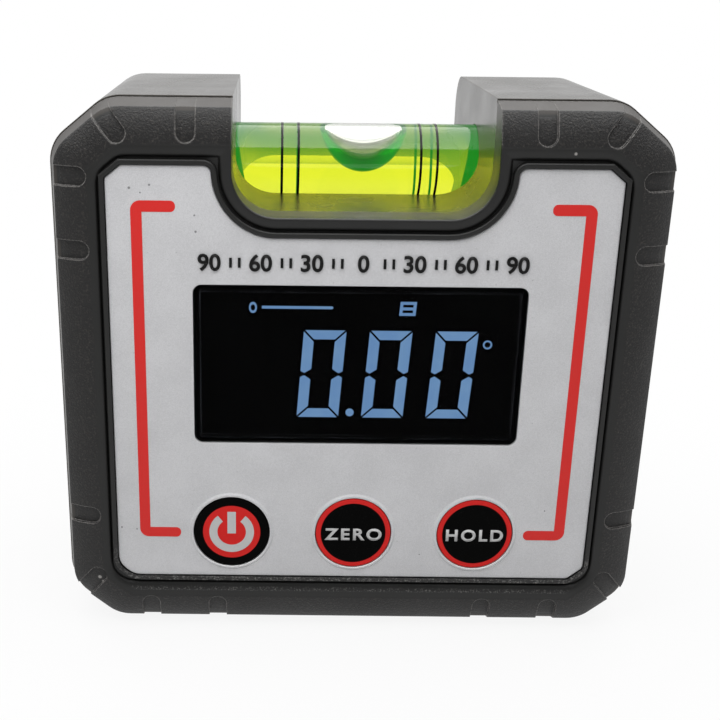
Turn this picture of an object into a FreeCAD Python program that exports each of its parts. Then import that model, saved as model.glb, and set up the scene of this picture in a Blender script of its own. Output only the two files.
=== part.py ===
import FreeCAD, Part
import math
import os
import Sketcher
from FreeCAD import Placement, Rotation, Vector

# Pocket digital level: moulded two-part case, silver faceplate, lit display, three keys,
# and a horizontal bubble vial lying in a notch through the top of the case.
# Frame: X across the face, Y from the face (negative) to the back, Z up. Origin under the middle.

os.makedirs("parts", exist_ok=True)
doc = FreeCAD.newDocument("DigitalSpiritLevel")

# Driving sizes, millimetres
sizes = [
    ("bodyWidth", 61.6, "case, side to side"),
    ("bodyHeight", 56.7, "case, base to top"),
    ("bodyDepth", 31.8, "case, face to back"),
    ("cornerCutX", 5.7, "clipped corner, along the width"),
    ("cornerCutZ", 4.6, "clipped corner, along the height"),
    ("cornerRadius", 4.0, "rounding at both ends of a clipped corner"),
    ("backRadius", 3.6, "rounding of the back edge"),
    ("shellWall", 1.8, "case wall"),
    ("bezelDepth", 3.85, "front housing, lip to parting line"),
    ("frameSide", 5.8, "bezel width beside the faceplate"),
    ("frameTop", 6.1, "bezel width over the faceplate"),
    ("frameBottom", 6.65, "bezel width under the faceplate"),
    ("seamStep", 0.15, "front housing's edge, in from the rear housing's"),
    ("stripDepth", 2.55, "smooth leaning strip in front of the parting line"),
    ("stripInset", 0.75, "smooth strip's front edge, in from the outer edge"),
    ("stripLift", 0.34, "smooth strip's front edge, further up along the base"),
    ("crestInset", 4.3, "bezel crest, in from the outer edge"),
    ("crestDrop", 0.15, "bezel crest, behind the lip"),
    ("bevelLean", 36.0, "bezel's slope at the smooth strip, degrees"),
    ("bevelStart", 1.2, "bezel's crown, pull towards the slope at the strip"),
    ("bevelEnd", 1.2, "bezel's crown, pull towards the flat crest"),
    ("crestRadius", 2.5, "corner rounding at the crest"),
    ("valleyDepth", 0.65, "channel round the lip, below the lip"),
    ("valleyRound", 0.9, "rounded shoulder between the crest and the channel"),
    ("valleyWidth", 0.14, "flat bottom of the channel"),
    ("lipWidth", 0.5, "raised lip round the faceplate"),
    ("notchRim", 0.3, "flat rim at the notch edge"),
    ("gripWidth", 1.9, "grip notch in the bezel"),
    ("gripDepth", 0.35, "grip notch, below the bezel"),
    ("gripMargin", 0.25, "grip notch, in front of the parting line"),
    ("gripReach", 3.1, "grip notch, edge to the middle of its round end"),
    ("gripTopX", 17.2, "top grip notch, from the middle"),
    ("gripChamferX", 23.8, "top corner grip notch, from the middle"),
    ("gripChamferDrop", 3.2, "top corner grip notch, below the top"),
    ("gripHighZ", 49.4, "upper side grip notch"),
    ("gripMiddleZ", 42.2, "second side grip notch"),
    ("gripLowZ", 13.6, "lower side grip notch"),
    ("gripHeelX", 27.3, "bottom corner grip notch, from the middle"),
    ("gripHeelZ", 6.5, "bottom corner grip notch, above the base"),
    ("gripBaseOuterX", 21.65, "outer bottom grip notch"),
    ("gripBaseInnerX", 14.4, "inner bottom grip notch"),
    ("notchWidth", 25.6, "vial notch, wall to wall"),
    ("notchFloorZ", 45.6, "vial notch floor, above the base"),
    ("notchRadius", 4.4, "vial notch, floor corners"),
    ("notchBand", 1.95, "bezel between the notch and the faceplate"),
    ("panelInset", 0.25, "faceplate, behind the lip"),
    ("filmThick", 0.4, "faceplate film"),
    ("filmGap", 0.06, "faceplate film to the lip"),
    ("filmCorner", 0.8, "faceplate corner beside the notch"),
    ("filmHeelCut", 0.45, "faceplate's lower corners, clipped further than the case"),
    ("filmHeel", 2.0, "faceplate's lower left corner, rounding"),
    ("filmHeelRight", 0.8, "faceplate's lower right corner, rounding"),
    ("filmEdge", 0.12, "faceplate's rolled edge"),
    ("lipEdge", 0.18, "rounding of the lip's outer edge"),
    ("notchFlare", 0.16, "softened front edge of the notch"),
    ("frontWall", 1.5, "front housing wall behind the film"),
    ("windowWidth", 33.36, "display window"),
    ("windowHeight", 16.85, "display window"),
    ("windowZ", 30.5, "display window centre"),
    ("windowCorner", 0.9, "display window corners"),
    ("windowThick", 0.8, "display window lens"),
    ("fitGap", 0.08, "lens and display glass in their openings"),
    ("glassThick", 1.9, "display glass"),
    ("layerGap", 0.05, "between stacked display layers"),
    ("guideThick", 2.2, "backlight guide"),
    ("guideTrim", 2.2, "backlight guide, above the contact strip"),
    ("stripThick", 1.6, "contact strip"),
    ("stripTrim", 1.0, "contact strip, in from the window's ends"),
    ("segmentThick", 0.04, "display segments"),
    ("segmentWide", 1.08, "upright display segments"),
    ("segmentTall", 0.95, "level display segments"),
    ("segmentGap", 0.14, "between display segments, along the digit's edge"),
    ("tipGap", 0.12, "upright segment's pointed end, from the digit's middle"),
    ("tipAcross", 0.4, "upright segment's point, in from its outer edge"),
    ("tipOuter", 0.23, "upright segment's outer shoulder, back from the point"),
    ("tipInner", 0.45, "upright segment's inner shoulder, back from the point"),
    ("pointRadius", 0.42, "decimal point"),
    ("digitWidth", 4.3, "display digit"),
    ("digitHeight", 9.35, "display digit"),
    ("digitPitch", 6.67, "digit to digit"),
    ("digitStartX", -6.14, "first digit, lower left corner"),
    ("digitBaseZ", 24.75, "digits, lower edge"),
    ("digitLean", 0.6, "digits, lean at the top"),
    ("boardInset", 4.8, "circuit board's wide part, in from the case's sides"),
    ("boardNeck", 38.0, "circuit board, narrow part behind the keys"),
    ("boardDrop", 3.2, "circuit board, upper edge below the notch floor"),
    ("boardStepZ", 12.0, "circuit board, step down to the narrow part"),
    ("boardBaseZ", 6.8, "circuit board, lower edge"),
    ("boardThick", 1.2, "circuit board"),
    ("boardScrewInset", 8.3, "board screws, in from the case's sides"),
    ("boardScrewLowZ", 15.2, "lower board screws"),
    ("boardScrewDrop", 5.6, "upper board screws, below the notch floor"),
    ("postRadius", 2.2, "board posts"),
    ("screwRadius", 1.0, "board screw shank"),
    ("screwHead", 1.9, "board screw head radius"),
    ("screwLength", 4.0, "board screw under the head"),
    ("headThick", 1.2, "screw heads"),
    ("keyRadius", 4.0, "round key"),
    ("keyPitch", 12.95, "key to key"),
    ("keyShift", 0.1, "key row, right of the case middle"),
    ("keyZ", 11.92, "key row, above the base"),
    ("keyGap", 0.08, "key to the faceplate"),
    ("collarWide", 0.42, "raised collar of the faceplate round a key, at its foot"),
    ("collarSlope", 0.22, "raised collar, run of its sloping side"),
    ("collarRise", 0.14, "raised collar, in front of the faceplate"),
    ("keyProud", 0.12, "key face, in front of the faceplate"),
    ("keyFlange", 0.9, "key flange behind the wall, out from the cap"),
    ("flangeThick", 0.5, "key flange"),
    ("keyStem", 1.5, "key stem radius"),
    ("keyTravel", 0.3, "key stroke"),
    ("keySlack", 0.1, "key to what stops it at each end of its stroke"),
    ("keyEdge", 0.12, "key edge rounding"),
    ("switchSize", 6.0, "tactile switch body, square"),
    ("switchTall", 1.7, "tactile switch body, off the board"),
    ("switchRaise", 0.6, "tactile switch body, above the key middle"),
    ("plungerRadius", 1.6, "tactile switch plunger"),
    ("plungerTall", 0.4, "tactile switch plunger, off its body"),
    ("vialRadius", 4.0, "vial tube"),
    ("vialLength", 34.0, "vial tube"),
    ("vialRise", 3.1, "vial axis, above the notch floor"),
    ("vialSetback", 16.57, "vial axis, behind the face"),
    ("vialShift", 0.3, "vial middle, right of the case middle"),
    ("vialGap", 0.06, "vial tube in the case"),
    ("boreRadius", 3.2, "vial bore"),
    ("boreLength", 27.0, "vial bore, closed end to plug"),
    ("liquidGap", 0.03, "liquid to the bore"),
    ("bubbleHalf", 4.7, "bubble, half length"),
    ("bubbleDeep", 3.85, "bubble, below the top of the bore"),
    ("bubbleWide", 2.9, "bubble, half width"),
    ("bubbleShift", 0.5, "bubble, right of the vial middle"),
    ("bubbleGap", 0.06, "bubble to the liquid and the bore"),
    ("ringInner", 6.46, "inner graduation rings, from the vial middle"),
    ("ringOuter", 8.2, "outer graduation rings, from the vial middle"),
    ("ringWide", 0.26, "graduation ring width"),
    ("ringThick", 0.03, "graduation ring print"),
    ("plugThick", 3.0, "vial plug"),
    ("saddleThick", 1.6, "ribs that hold the ends of the vial"),
    ("saddleReach", 15.9, "ribs, from the middle"),
    ("cellRadius", 5.25, "battery cell"),
    ("cellLength", 43.3, "battery cell body"),
    ("cellNubRadius", 1.9, "battery cell button"),
    ("cellNub", 1.2, "battery cell button length"),
    ("cellGap", 0.6, "between the cells and round them"),
    ("bayZ", 23.6, "battery bay middle, above the base"),
    ("bayWall", 1.3, "battery bay wall"),
    ("contactRoom", 3.4, "battery bay, room for the spring contact"),
    ("contactThick", 0.3, "contact sheet metal"),
    ("contactWide", 7.0, "contact, across the cell"),
    ("doorThick", 1.7, "battery door"),
    ("doorLap", 1.4, "battery door, past the bay all round"),
    ("doorGap", 0.15, "battery door in its seat"),
    ("doorCorner", 1.5, "battery door corners"),
    ("doorGrooves", 5.0, "finger grooves in the battery door"),
    ("doorGrooveWide", 0.4, "battery door grooves, width and depth"),
    ("doorGroovePitch", 1.2, "battery door grooves"),
    ("bossRadius", 2.7, "case screw bosses"),
    ("bossInset", 5.8, "case screws, in from the sides"),
    ("bossLowZ", 7.4, "lower case screws, above the base"),
    ("bossDrop", 7.1, "upper case screws, below the top"),
    ("bossReach", 12.0, "front housing bosses, past the parting line"),
    ("caseScrewRadius", 1.1, "case screw shank"),
    ("caseScrewHead", 2.0, "case screw head radius"),
    ("caseScrewLength", 12.0, "case screw under the head"),
    ("seatDepth", 10.0, "case screw head, below the back"),
    ("tongueThick", 0.9, "locating tongue"),
    ("tongueLong", 2.0, "locating tongue, past the parting line"),
    ("tongueGap", 0.12, "locating tongue to the rear housing"),
    ("grooveWide", 0.3, "parting line groove"),
    ("grooveDeep", 0.45, "parting line groove"),
    ("magnetRadius", 4.0, "base magnet"),
    ("magnetThick", 3.0, "base magnet"),
    ("magnetX", 9.0, "base magnets, from the middle"),
    ("magnetSpan", 6.1, "base magnets, from the middle of the rear housing"),
    ("magnetGap", 0.1, "base magnet in its cup"),
    ("magnetSink", 0.1, "base magnet, above the base plane"),
    ("cupWall", 1.1, "base magnet cup"),
    ("chipSize", 5.0, "processor, square"),
    ("sensorSize", 3.0, "tilt sensor, square"),
    ("chipThick", 1.0, "chips, off the board"),
    ("bracketInset", 2.4, "red bracket, in from the faceplate's side"),
    ("bracketDrop", 3.4, "red bracket, below the faceplate's top"),
    ("bracketBase", 4.6, "red bracket, above the faceplate's lower edge"),
    ("bracketWide", 1.1, "red bracket, line width"),
    ("bracketArm", 4.35, "red bracket, arm length"),
    ("bracketCorner", 0.95, "red bracket, outer corners"),
    ("bracketEnd", 0.5, "red bracket, ends of the arms"),
    ("printThick", 0.03, "printed ink"),
    ("bevelSteps", 12.0, "flats that the bezel's crowned face is built from"),
    ("roundSteps", 6.0, "flats that the shoulder beside the channel is built from"),
    ("cutOver", 1.0, "cutting shapes, past the faces that they cut"),
]
sheet = doc.addObject("Spreadsheet::Sheet", "Sizes")
for row, (alias, value, note) in enumerate(sizes, start=1):
    sheet.set("A%d" % row, alias)
    sheet.set("B%d" % row, str(value))
    sheet.set("C%d" % row, note)
    sheet.setAlias("B%d" % row, alias)
doc.recompute()


def size(text):
    return float(sheet.evalExpression(text))


# Planes and places worked out from the sizes, each in brackets so that they join safely
half = "(Sizes.bodyWidth / 2)"
top = "(Sizes.bodyHeight)"
face = "(-Sizes.bodyDepth / 2)"
back = "(Sizes.bodyDepth / 2)"
seam = f"({face} + Sizes.bezelDepth)"
crest = f"({face} + Sizes.crestDrop)"
valley = f"({face} + Sizes.valleyDepth)"
panel = f"({face} + Sizes.panelInset)"
filmBack = f"({panel} + Sizes.filmThick)"
wallBack = f"({filmBack} + Sizes.frontWall)"
lensBack = f"({panel} + Sizes.layerGap + Sizes.windowThick)"
glassFace = f"({lensBack} + Sizes.layerGap)"
glassBack = f"({glassFace} + Sizes.glassThick)"
guideFace = f"({glassBack} + Sizes.layerGap)"
boardFace = f"({guideFace} + Sizes.guideThick + Sizes.layerGap)"
boardBack = f"({boardFace} + Sizes.boardThick)"
windowLow = "(Sizes.windowZ - Sizes.windowHeight / 2)"
windowHigh = "(Sizes.windowZ + Sizes.windowHeight / 2)"
windowHalf = "(Sizes.windowWidth / 2)"
boardHalf = f"({half} - Sizes.boardInset)"
boardTop = "(Sizes.notchFloorZ - Sizes.boardDrop)"
boardScrewX = f"({half} - Sizes.boardScrewInset)"
bossX = f"({half} - Sizes.bossInset)"
bracketX = f"({half} - Sizes.frameSide - Sizes.bracketInset)"
bracketTop = f"({top} - Sizes.frameTop - Sizes.bracketDrop)"
bracketLow = "(Sizes.frameBottom + Sizes.bracketBase)"
notchHalf = "(Sizes.notchWidth / 2)"
vialY = f"({face} + Sizes.vialSetback)"
boreStart = "(Sizes.vialShift - Sizes.boreLength / 2)"
boreEnd = "(Sizes.vialShift + Sizes.boreLength / 2)"
bubbleX = "(Sizes.vialShift + Sizes.bubbleShift)"
vialZ = "(Sizes.notchFloorZ + Sizes.vialRise)"
bubbleZ = f"({vialZ} + Sizes.boreRadius - 2 * Sizes.bubbleGap)"
ahead = f"({face} - Sizes.cutOver)"
behind = f"({back} + Sizes.cutOver)"
above = f"({top} + 4 * Sizes.cutOver)"
keyFace = f"({panel} - Sizes.keyProud)"
flangeFace = f"({wallBack} + Sizes.keySlack)"
flangeBack = f"({flangeFace} + Sizes.flangeThick)"
switchFace = f"({boardFace} - Sizes.switchTall)"
plungerFace = f"({switchFace} - Sizes.plungerTall)"
stemEnd = f"({plungerFace} - Sizes.keyTravel - Sizes.keySlack)"
doorFace = f"({back} - Sizes.doorThick)"
cellY = f"({doorFace} - Sizes.cellGap - Sizes.cellRadius)"
bayFloor = f"({cellY} - Sizes.cellRadius - Sizes.cellGap)"
cellSpan = "(Sizes.cellLength + Sizes.cellNub)"
bayHalf = f"({cellSpan} / 2 + Sizes.contactRoom / 2 + Sizes.contactThick)"
bayRise = "(2 * Sizes.cellRadius + 1.5 * Sizes.cellGap)"
cellRise = "(Sizes.cellRadius + Sizes.cellGap / 2)"
cutLength = "sqrt(Sizes.cornerCutX ^ 2 + Sizes.cornerCutZ ^ 2)"
cutNormalX = f"(Sizes.cornerCutZ / {cutLength})"
cutNormalZ = f"(Sizes.cornerCutX / {cutLength})"


def cornerRise(side, cut):
    return f"(Sizes.cornerCutZ - ({cutNormalX} * ({side}) - ({cut})) / {cutNormalZ})"


def cornerHalf(end, cut):
    return f"({half} - (({cut}) + {cutNormalZ} * (Sizes.cornerCutZ - ({end}))) / {cutNormalX})"


# The case's outline with clipped corners, set in by named amounts at each edge
def outline(side, upper, lower, cut, heelCut="0"):
    low = cornerRise(side, f"{cut} + {heelCut}")
    high = f"({top} - {cornerRise(side, cut)})"
    width = f"({half} - ({side}))"
    lowHalf = cornerHalf(lower, f"{cut} + {heelCut}")
    highHalf = cornerHalf(upper, cut)
    return [
        (f"(-{lowHalf})", f"({lower})"), (lowHalf, f"({lower})"),
        (width, low), (width, high),
        (highHalf, f"({top} - ({upper}))"), (f"(-{highHalf})", f"({top} - ({upper}))"),
        (f"(-{width})", high), (f"(-{width})", low),
    ]


def evenOutline(inset):
    return outline(inset, inset, inset, inset)


def originPlane(body, role):
    return [item for item in body.Origin.OriginFeatures if item.Role == role][0]


def newSketch(body, name, role, offset):
    sketch = body.newObject("Sketcher::SketchObject", name)
    sketch.AttachmentSupport = [(originPlane(body, role), "")]
    sketch.MapMode = "FlatFace"
    sketch.setExpression("AttachmentOffset.Base.z", offset)
    return sketch


def bind(sketch, kind, place, text):
    datum = sketch.addConstraint(Sketcher.Constraint(kind, *place, size(text)))
    sketch.setExpression("Constraints[%d]" % datum, text)


def polygonSketch(body, name, role, offset, corners):
    sketch = newSketch(body, name, role, offset)
    spots = [Vector(size(across), size(up), 0) for across, up in corners]
    count = len(spots)
    for index, spot in enumerate(spots):
        sketch.addGeometry(Part.LineSegment(spot, spots[(index + 1) % count]), False)
    for index in range(count):
        sketch.addConstraint(Sketcher.Constraint("Coincident", index, 2, (index + 1) % count, 1))
    for index, (across, up) in enumerate(corners):
        bind(sketch, "DistanceX", (-1, 1, index, 1), across)
        bind(sketch, "DistanceY", (-1, 1, index, 1), up)
    return sketch


def circleSketch(body, name, role, offset, across, up, radius):
    sketch = newSketch(body, name, role, offset)
    centre = Vector(size(across), size(up), 0)
    sketch.addGeometry(Part.Circle(centre, Vector(0, 0, 1), size(radius)), False)
    bind(sketch, "DistanceX", (-1, 1, 0, 3), across)
    bind(sketch, "DistanceY", (-1, 1, 0, 3), up)
    bind(sketch, "Radius", (0,), radius)
    return sketch


def pad(body, name, sketch, length):
    feature = body.newObject("PartDesign::Pad", name)
    feature.Profile = sketch
    feature.setExpression("Length", length)
    doc.recompute()
    return feature


closeEnough = 0.001


def edgesAlong(shape, axis):
    found = []
    for index, edge in enumerate(shape.Edges, start=1):
        start, end = edge.Vertexes[0].Point, edge.Vertexes[-1].Point
        run = end - start
        straight = edge.Curve.TypeId == "Part::GeomLine"
        if straight and run.Length > 0 and abs(run.normalize().dot(axis)) > 1 - closeEnough:
            found.append("Edge%d" % index)
    return found


def edgesOnPlane(shape, axis, level):
    found = []
    for index, edge in enumerate(shape.Edges, start=1):
        if all(abs(vertex.Point.dot(axis) - level) < closeEnough for vertex in edge.Vertexes):
            found.append("Edge%d" % index)
    return found


def roundEdges(body, name, base, edges, radius):
    feature = body.newObject("PartDesign::Fillet", name)
    feature.Base = (base, edges)
    feature.setExpression("Radius", radius)
    doc.recompute()
    return feature


depth = Vector(0, 1, 0)


# A flat piece that faces front: an outline in X and Z, with Y from near to far
def slab(name, near, far, corners, radius=None):
    body = doc.addObject("PartDesign::Body", name)
    sketch = polygonSketch(body, name + "_outline", "XZ_Plane", f"-({far})", corners)
    block = pad(body, name + "_pad", sketch, f"({far}) - ({near})")
    if radius:
        roundEdges(body, name + "_corners", block, edgesAlong(block.Shape, depth), radius)
    return body


# Rounds a plate's corners: the two beside the notch, and the four of its lower clipped corners
def roundPlate(name, base, hornRadius, leftRadius, rightRadius):
    doc.recompute()
    rounded = []
    highest = base.Shape.BoundBox.ZMax
    hornReach = size("Sizes.notchWidth / 2 + Sizes.notchBand + Sizes.filmCorner")
    for edge in edgesAlong(base.Shape, depth):
        spot = base.Shape.getElement(edge).CenterOfMass
        radius = None
        if highest - spot.z < closeEnough and abs(spot.x) < hornReach:
            radius = size(hornRadius)
        elif spot.z < size("Sizes.frameBottom + Sizes.cornerCutZ + Sizes.cutOver"):
            radius = size(leftRadius if spot.x < 0 else rightRadius)
        if radius:
            rounded.append((int(edge[4:]), radius, radius))
    result = doc.addObject("Part::Fillet", name)
    result.Base = base
    result.Edges = rounded
    return result


# Rounds every edge that lies in one plane across the depth
def softenFace(name, base, level, radius):
    doc.recompute()
    result = doc.addObject("Part::Fillet", name)
    result.Base = base
    result.Edges = [(int(edge[4:]), size(radius), size(radius))
                    for edge in edgesOnPlane(base.Shape, depth, level)]
    return result


def rectangle(left, right, low, high):
    return [(left, low), (right, low), (right, high), (left, high)]


def boxBetween(name, left, right, near, far, low, high):
    box = doc.addObject("Part::Box", name)
    box.setExpression("Length", f"({right}) - ({left})")
    box.setExpression("Width", f"({far}) - ({near})")
    box.setExpression("Height", f"({high}) - ({low})")
    box.setExpression("Placement.Base.x", left)
    box.setExpression("Placement.Base.y", near)
    box.setExpression("Placement.Base.z", low)
    return box


turns = {
    "x": Rotation(Vector(0, 1, 0), 90),
    "y": Rotation(Vector(1, 0, 0), -90),
    "z": Rotation(),
}


def rod(name, axis, start, radius, length):
    cylinder = doc.addObject("Part::Cylinder", name)
    cylinder.Placement = Placement(Vector(), turns[axis])
    cylinder.setExpression("Radius", radius)
    cylinder.setExpression("Height", length)
    for direction, text in zip("xyz", start):
        cylinder.setExpression("Placement.Base." + direction, text)
    return cylinder


def taper(name, start, frontRadius, backRadius, length):
    cone = doc.addObject("Part::Cone", name)
    cone.Placement = Placement(Vector(), turns["y"])
    cone.setExpression("Radius1", frontRadius)
    cone.setExpression("Radius2", backRadius)
    cone.setExpression("Height", length)
    for direction, text in zip("xyz", start):
        cone.setExpression("Placement.Base." + direction, text)
    return cone


def join(name, pieces):
    fusion = doc.addObject("Part::MultiFuse", name)
    fusion.Shapes = pieces
    return fusion


def cutAway(name, base, tools):
    tool = tools[0] if len(tools) == 1 else join(name + "_tools", tools)
    result = doc.addObject("Part::Cut", name)
    result.Base = base
    result.Tool = tool
    return result


def overlap(name, base, tool):
    result = doc.addObject("Part::Common", name)
    result.Base = base
    result.Tool = tool
    return result


# Separate solids kept side by side in one node, such as a set of equal screws
def group(name, pieces):
    compound = doc.addObject("Part::Compound", name)
    compound.Links = pieces
    return compound


# The U of the notch, widened all round by a named amount
def notchBlock(name, grow, near, far):
    reach = f"({notchHalf} + ({grow}))"
    floor = f"(Sizes.notchFloorZ - ({grow}))"
    corners = rectangle(f"(-{reach})", reach, floor, above)
    body = doc.addObject("PartDesign::Body", name)
    sketch = polygonSketch(body, name + "_outline", "XZ_Plane", f"-({far})", corners)
    block = pad(body, name + "_pad", sketch, f"({far}) - ({near})")
    lower = []
    for edge in edgesAlong(block.Shape, depth):
        if block.Shape.getElement(edge).CenterOfMass.z < size("Sizes.notchFloorZ + Sizes.cutOver"):
            lower.append(edge)
    roundEdges(body, name + "_corners", block, lower, f"Sizes.notchRadius + ({grow})")
    return body


# Front housing: rings of the outline, set in and forward along the bezel's section
def ringWire(side, upper, lower, cut, radius, level):
    spots = [Vector(size(x), level, size(z)) for x, z in outline(side, upper, lower, cut)]
    count = len(spots)
    edges = []
    tangents = []
    for index, spot in enumerate(spots):
        before = (spots[index - 1] - spot).normalize()
        after = (spots[(index + 1) % count] - spot).normalize()
        turn = math.pi - before.getAngle(after)
        setback = radius * math.tan(turn / 2)
        middle = (before + after).normalize() * (radius / math.cos(turn / 2) - radius)
        tangents.append((spot + before * setback, spot + middle, spot + after * setback))
    for index, (start, middle, end) in enumerate(tangents):
        edges.append(Part.Arc(start, middle, end).toShape())
        edges.append(Part.LineSegment(end, tangents[(index + 1) % count][0]).toShape())
    return Part.Wire(edges)


def bezelRing(inset, level):
    share = inset / size("Sizes.frameSide")
    upper = str(share * size("Sizes.frameTop"))
    lower = str(share * size("Sizes.frameBottom") + baseLift(inset))
    outerRadius = size("Sizes.cornerRadius")
    radius = outerRadius + (size("Sizes.crestRadius") - outerRadius) * inset / size("Sizes.crestInset")
    return ringWire(str(inset), upper, lower, str(inset), radius, level)


# Along the base the strip's front edge stands higher, and the crest doesn't
def baseLift(inset):
    edge = size("Sizes.stripInset")
    crestEdge = size("Sizes.crestInset")
    share = inset / edge if inset < edge else max(0.0, (crestEdge - inset) / (crestEdge - edge))
    return share * size("Sizes.stripLift")


# A smooth curve from the strip to the crest, steep at its start and flat at its end
def crown(start, end, share):
    lean = math.radians(size("Sizes.bevelLean"))
    pull = size("Sizes.bevelStart")
    spots = (start, (start[0] + pull * math.cos(lean), start[1] - pull * math.sin(lean)),
             (end[0] - size("Sizes.bevelEnd"), end[1]), end)
    weights = ((1 - share) ** 3, 3 * share * (1 - share) ** 2, 3 * share ** 2 * (1 - share), share ** 3)
    return [sum(weight * spot[axis] for weight, spot in zip(weights, spots)) for axis in (0, 1)]


def bezelBlock(name, sink):
    bevelSteps = int(size("Sizes.bevelSteps"))
    start = (size("Sizes.stripInset"), size(f"{seam} - Sizes.stripDepth") + sink)
    end = (size("Sizes.crestInset"), size(crest) + sink)
    rings = [bezelRing(size("Sizes.seamStep"), size(seam)), bezelRing(*start)]
    for step in range(1, bevelSteps + 1):
        inset, level = crown(start, end, step / bevelSteps)
        rings.append(bezelRing(inset, level))
    block = doc.addObject("Part::Feature", name)
    block.Shape = Part.makeLoft(rings, True, True)
    return block


lipOuter = "(Sizes.frameSide - Sizes.filmGap - Sizes.lipWidth)"
channelFoot = f"({lipOuter} - Sizes.valleyWidth)"
channelTop = f"({channelFoot} - Sizes.valleyRound)"


def panelOutline(grow):
    side = f"(Sizes.frameSide - ({grow}))"
    return outline(side, f"(Sizes.frameTop - ({grow}))", f"(Sizes.frameBottom - ({grow}))", side,
                   "Sizes.filmHeelCut")


# The U of the notch as a closed wire, widened by a named amount, at one depth
def notchWire(grow, level):
    reach = size(notchHalf) + grow
    floor = size("Sizes.notchFloorZ") - grow
    radius = size("Sizes.notchRadius") + grow
    high = size(above)
    middle = radius * (1 - math.sqrt(0.5))
    spots = [
        Vector(-reach, level, high), Vector(-reach, level, floor + radius),
        Vector(-reach + middle, level, floor + middle), Vector(-reach + radius, level, floor),
        Vector(reach - radius, level, floor), Vector(reach - middle, level, floor + middle),
        Vector(reach, level, floor + radius), Vector(reach, level, high),
    ]
    return Part.Wire([
        Part.LineSegment(spots[0], spots[1]).toShape(),
        Part.Arc(spots[1], spots[2], spots[3]).toShape(),
        Part.LineSegment(spots[3], spots[4]).toShape(),
        Part.Arc(spots[4], spots[5], spots[6]).toShape(),
        Part.LineSegment(spots[6], spots[7]).toShape(),
        Part.LineSegment(spots[7], spots[0]).toShape(),
    ])


# The recess in front of the channel: its sides are rounded shoulders up to the bezel crest
# and up to the rim of the notch
def valleyBlock(name):
    roundSteps = int(size("Sizes.roundSteps"))
    low, high = size(valley), size(crest)
    sides = (
        (bezelRing, size(channelFoot), size(channelTop)),
        (notchWire, size("Sizes.notchBand - Sizes.filmGap - Sizes.lipWidth - Sizes.valleyWidth"),
         size("Sizes.notchRim")),
    )
    lofts = []
    for makeRing, foot, head in sides:
        rings = []
        for step in range(roundSteps + 1):
            turn = math.pi / 2 * step / roundSteps
            rings.append(makeRing(head + (foot - head) * math.cos(turn), low + (high - low) * math.sin(turn)))
        rings.append(makeRing(head, size(ahead)))
        lofts.append(Part.makeLoft(rings, True, True))
    block = doc.addObject("Part::Feature", name)
    block.Shape = lofts[0].cut(lofts[1])
    return block


# The notch's front edge, softened by a flare
def flareBlock(name):
    flare = size("Sizes.notchFlare")
    slant = flare * math.sqrt(0.5)
    front = size(crest)
    rings = [notchWire(0, front + flare), notchWire(flare - slant, front + flare - slant),
             notchWire(flare, front), notchWire(flare, size(ahead))]
    block = doc.addObject("Part::Feature", name)
    block.Shape = Part.makeLoft(rings, True, True)
    return block


# Grip notches: round-ended slots, sunk a little into the bezel and running out in the strip
def gripSlots():
    slots = []
    normal = (size(cutNormalX), size(cutNormalZ))
    base = [
        ("top", size("Sizes.gripTopX"), size(f"{top} - Sizes.gripReach"), (0, 1)),
        ("shoulder", size("Sizes.gripChamferX"), size(f"{top} - Sizes.gripChamferDrop"), normal),
        ("high", size(f"{half} - Sizes.gripReach"), size("Sizes.gripHighZ"), (1, 0)),
        ("middle", size(f"{half} - Sizes.gripReach"), size("Sizes.gripMiddleZ"), (1, 0)),
        ("low", size(f"{half} - Sizes.gripReach"), size("Sizes.gripLowZ"), (1, 0)),
        ("heel", size("Sizes.gripHeelX"), size("Sizes.gripHeelZ"), (normal[0], -normal[1])),
        ("outer", size("Sizes.gripBaseOuterX"), size("Sizes.gripReach"), (0, -1)),
        ("inner", size("Sizes.gripBaseInnerX"), size("Sizes.gripReach"), (0, -1)),
    ]
    radius = size("Sizes.gripWidth / 2")
    reach = size("Sizes.gripReach * 3")
    near = size(ahead)
    length = size(f"{seam} - Sizes.gripMargin") - near
    for label, across, up, (outX, outZ) in base:
        for side in (-1, 1):
            out = Vector(side * outX, 0, outZ)
            along = Vector(-out.z, 0, out.x)
            centre = Vector(side * across, near, up)
            far = centre + out * reach
            wire = Part.Wire([
                Part.LineSegment(far + along * radius, centre + along * radius).toShape(),
                Part.Arc(centre + along * radius, centre - out * radius, centre - along * radius).toShape(),
                Part.LineSegment(centre - along * radius, far - along * radius).toShape(),
                Part.LineSegment(far - along * radius, far + along * radius).toShape(),
            ])
            slot = doc.addObject("Part::Feature", "grip_%s_%s" % (label, "left" if side < 0 else "right"))
            slot.Shape = Part.Face(wire).extrude(Vector(0, length, 0))
            slots.append(slot)
    return slots


bezel = bezelBlock("bezel_block", 0.0)
bezelInner = bezelBlock("bezel_inner", size("Sizes.gripDepth"))
channel = valleyBlock("lip_channel")
notchEdge = flareBlock("notch_edge")
gripTool = cutAway("grip_tool", join("grip_slots", gripSlots()), [bezelInner])

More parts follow.
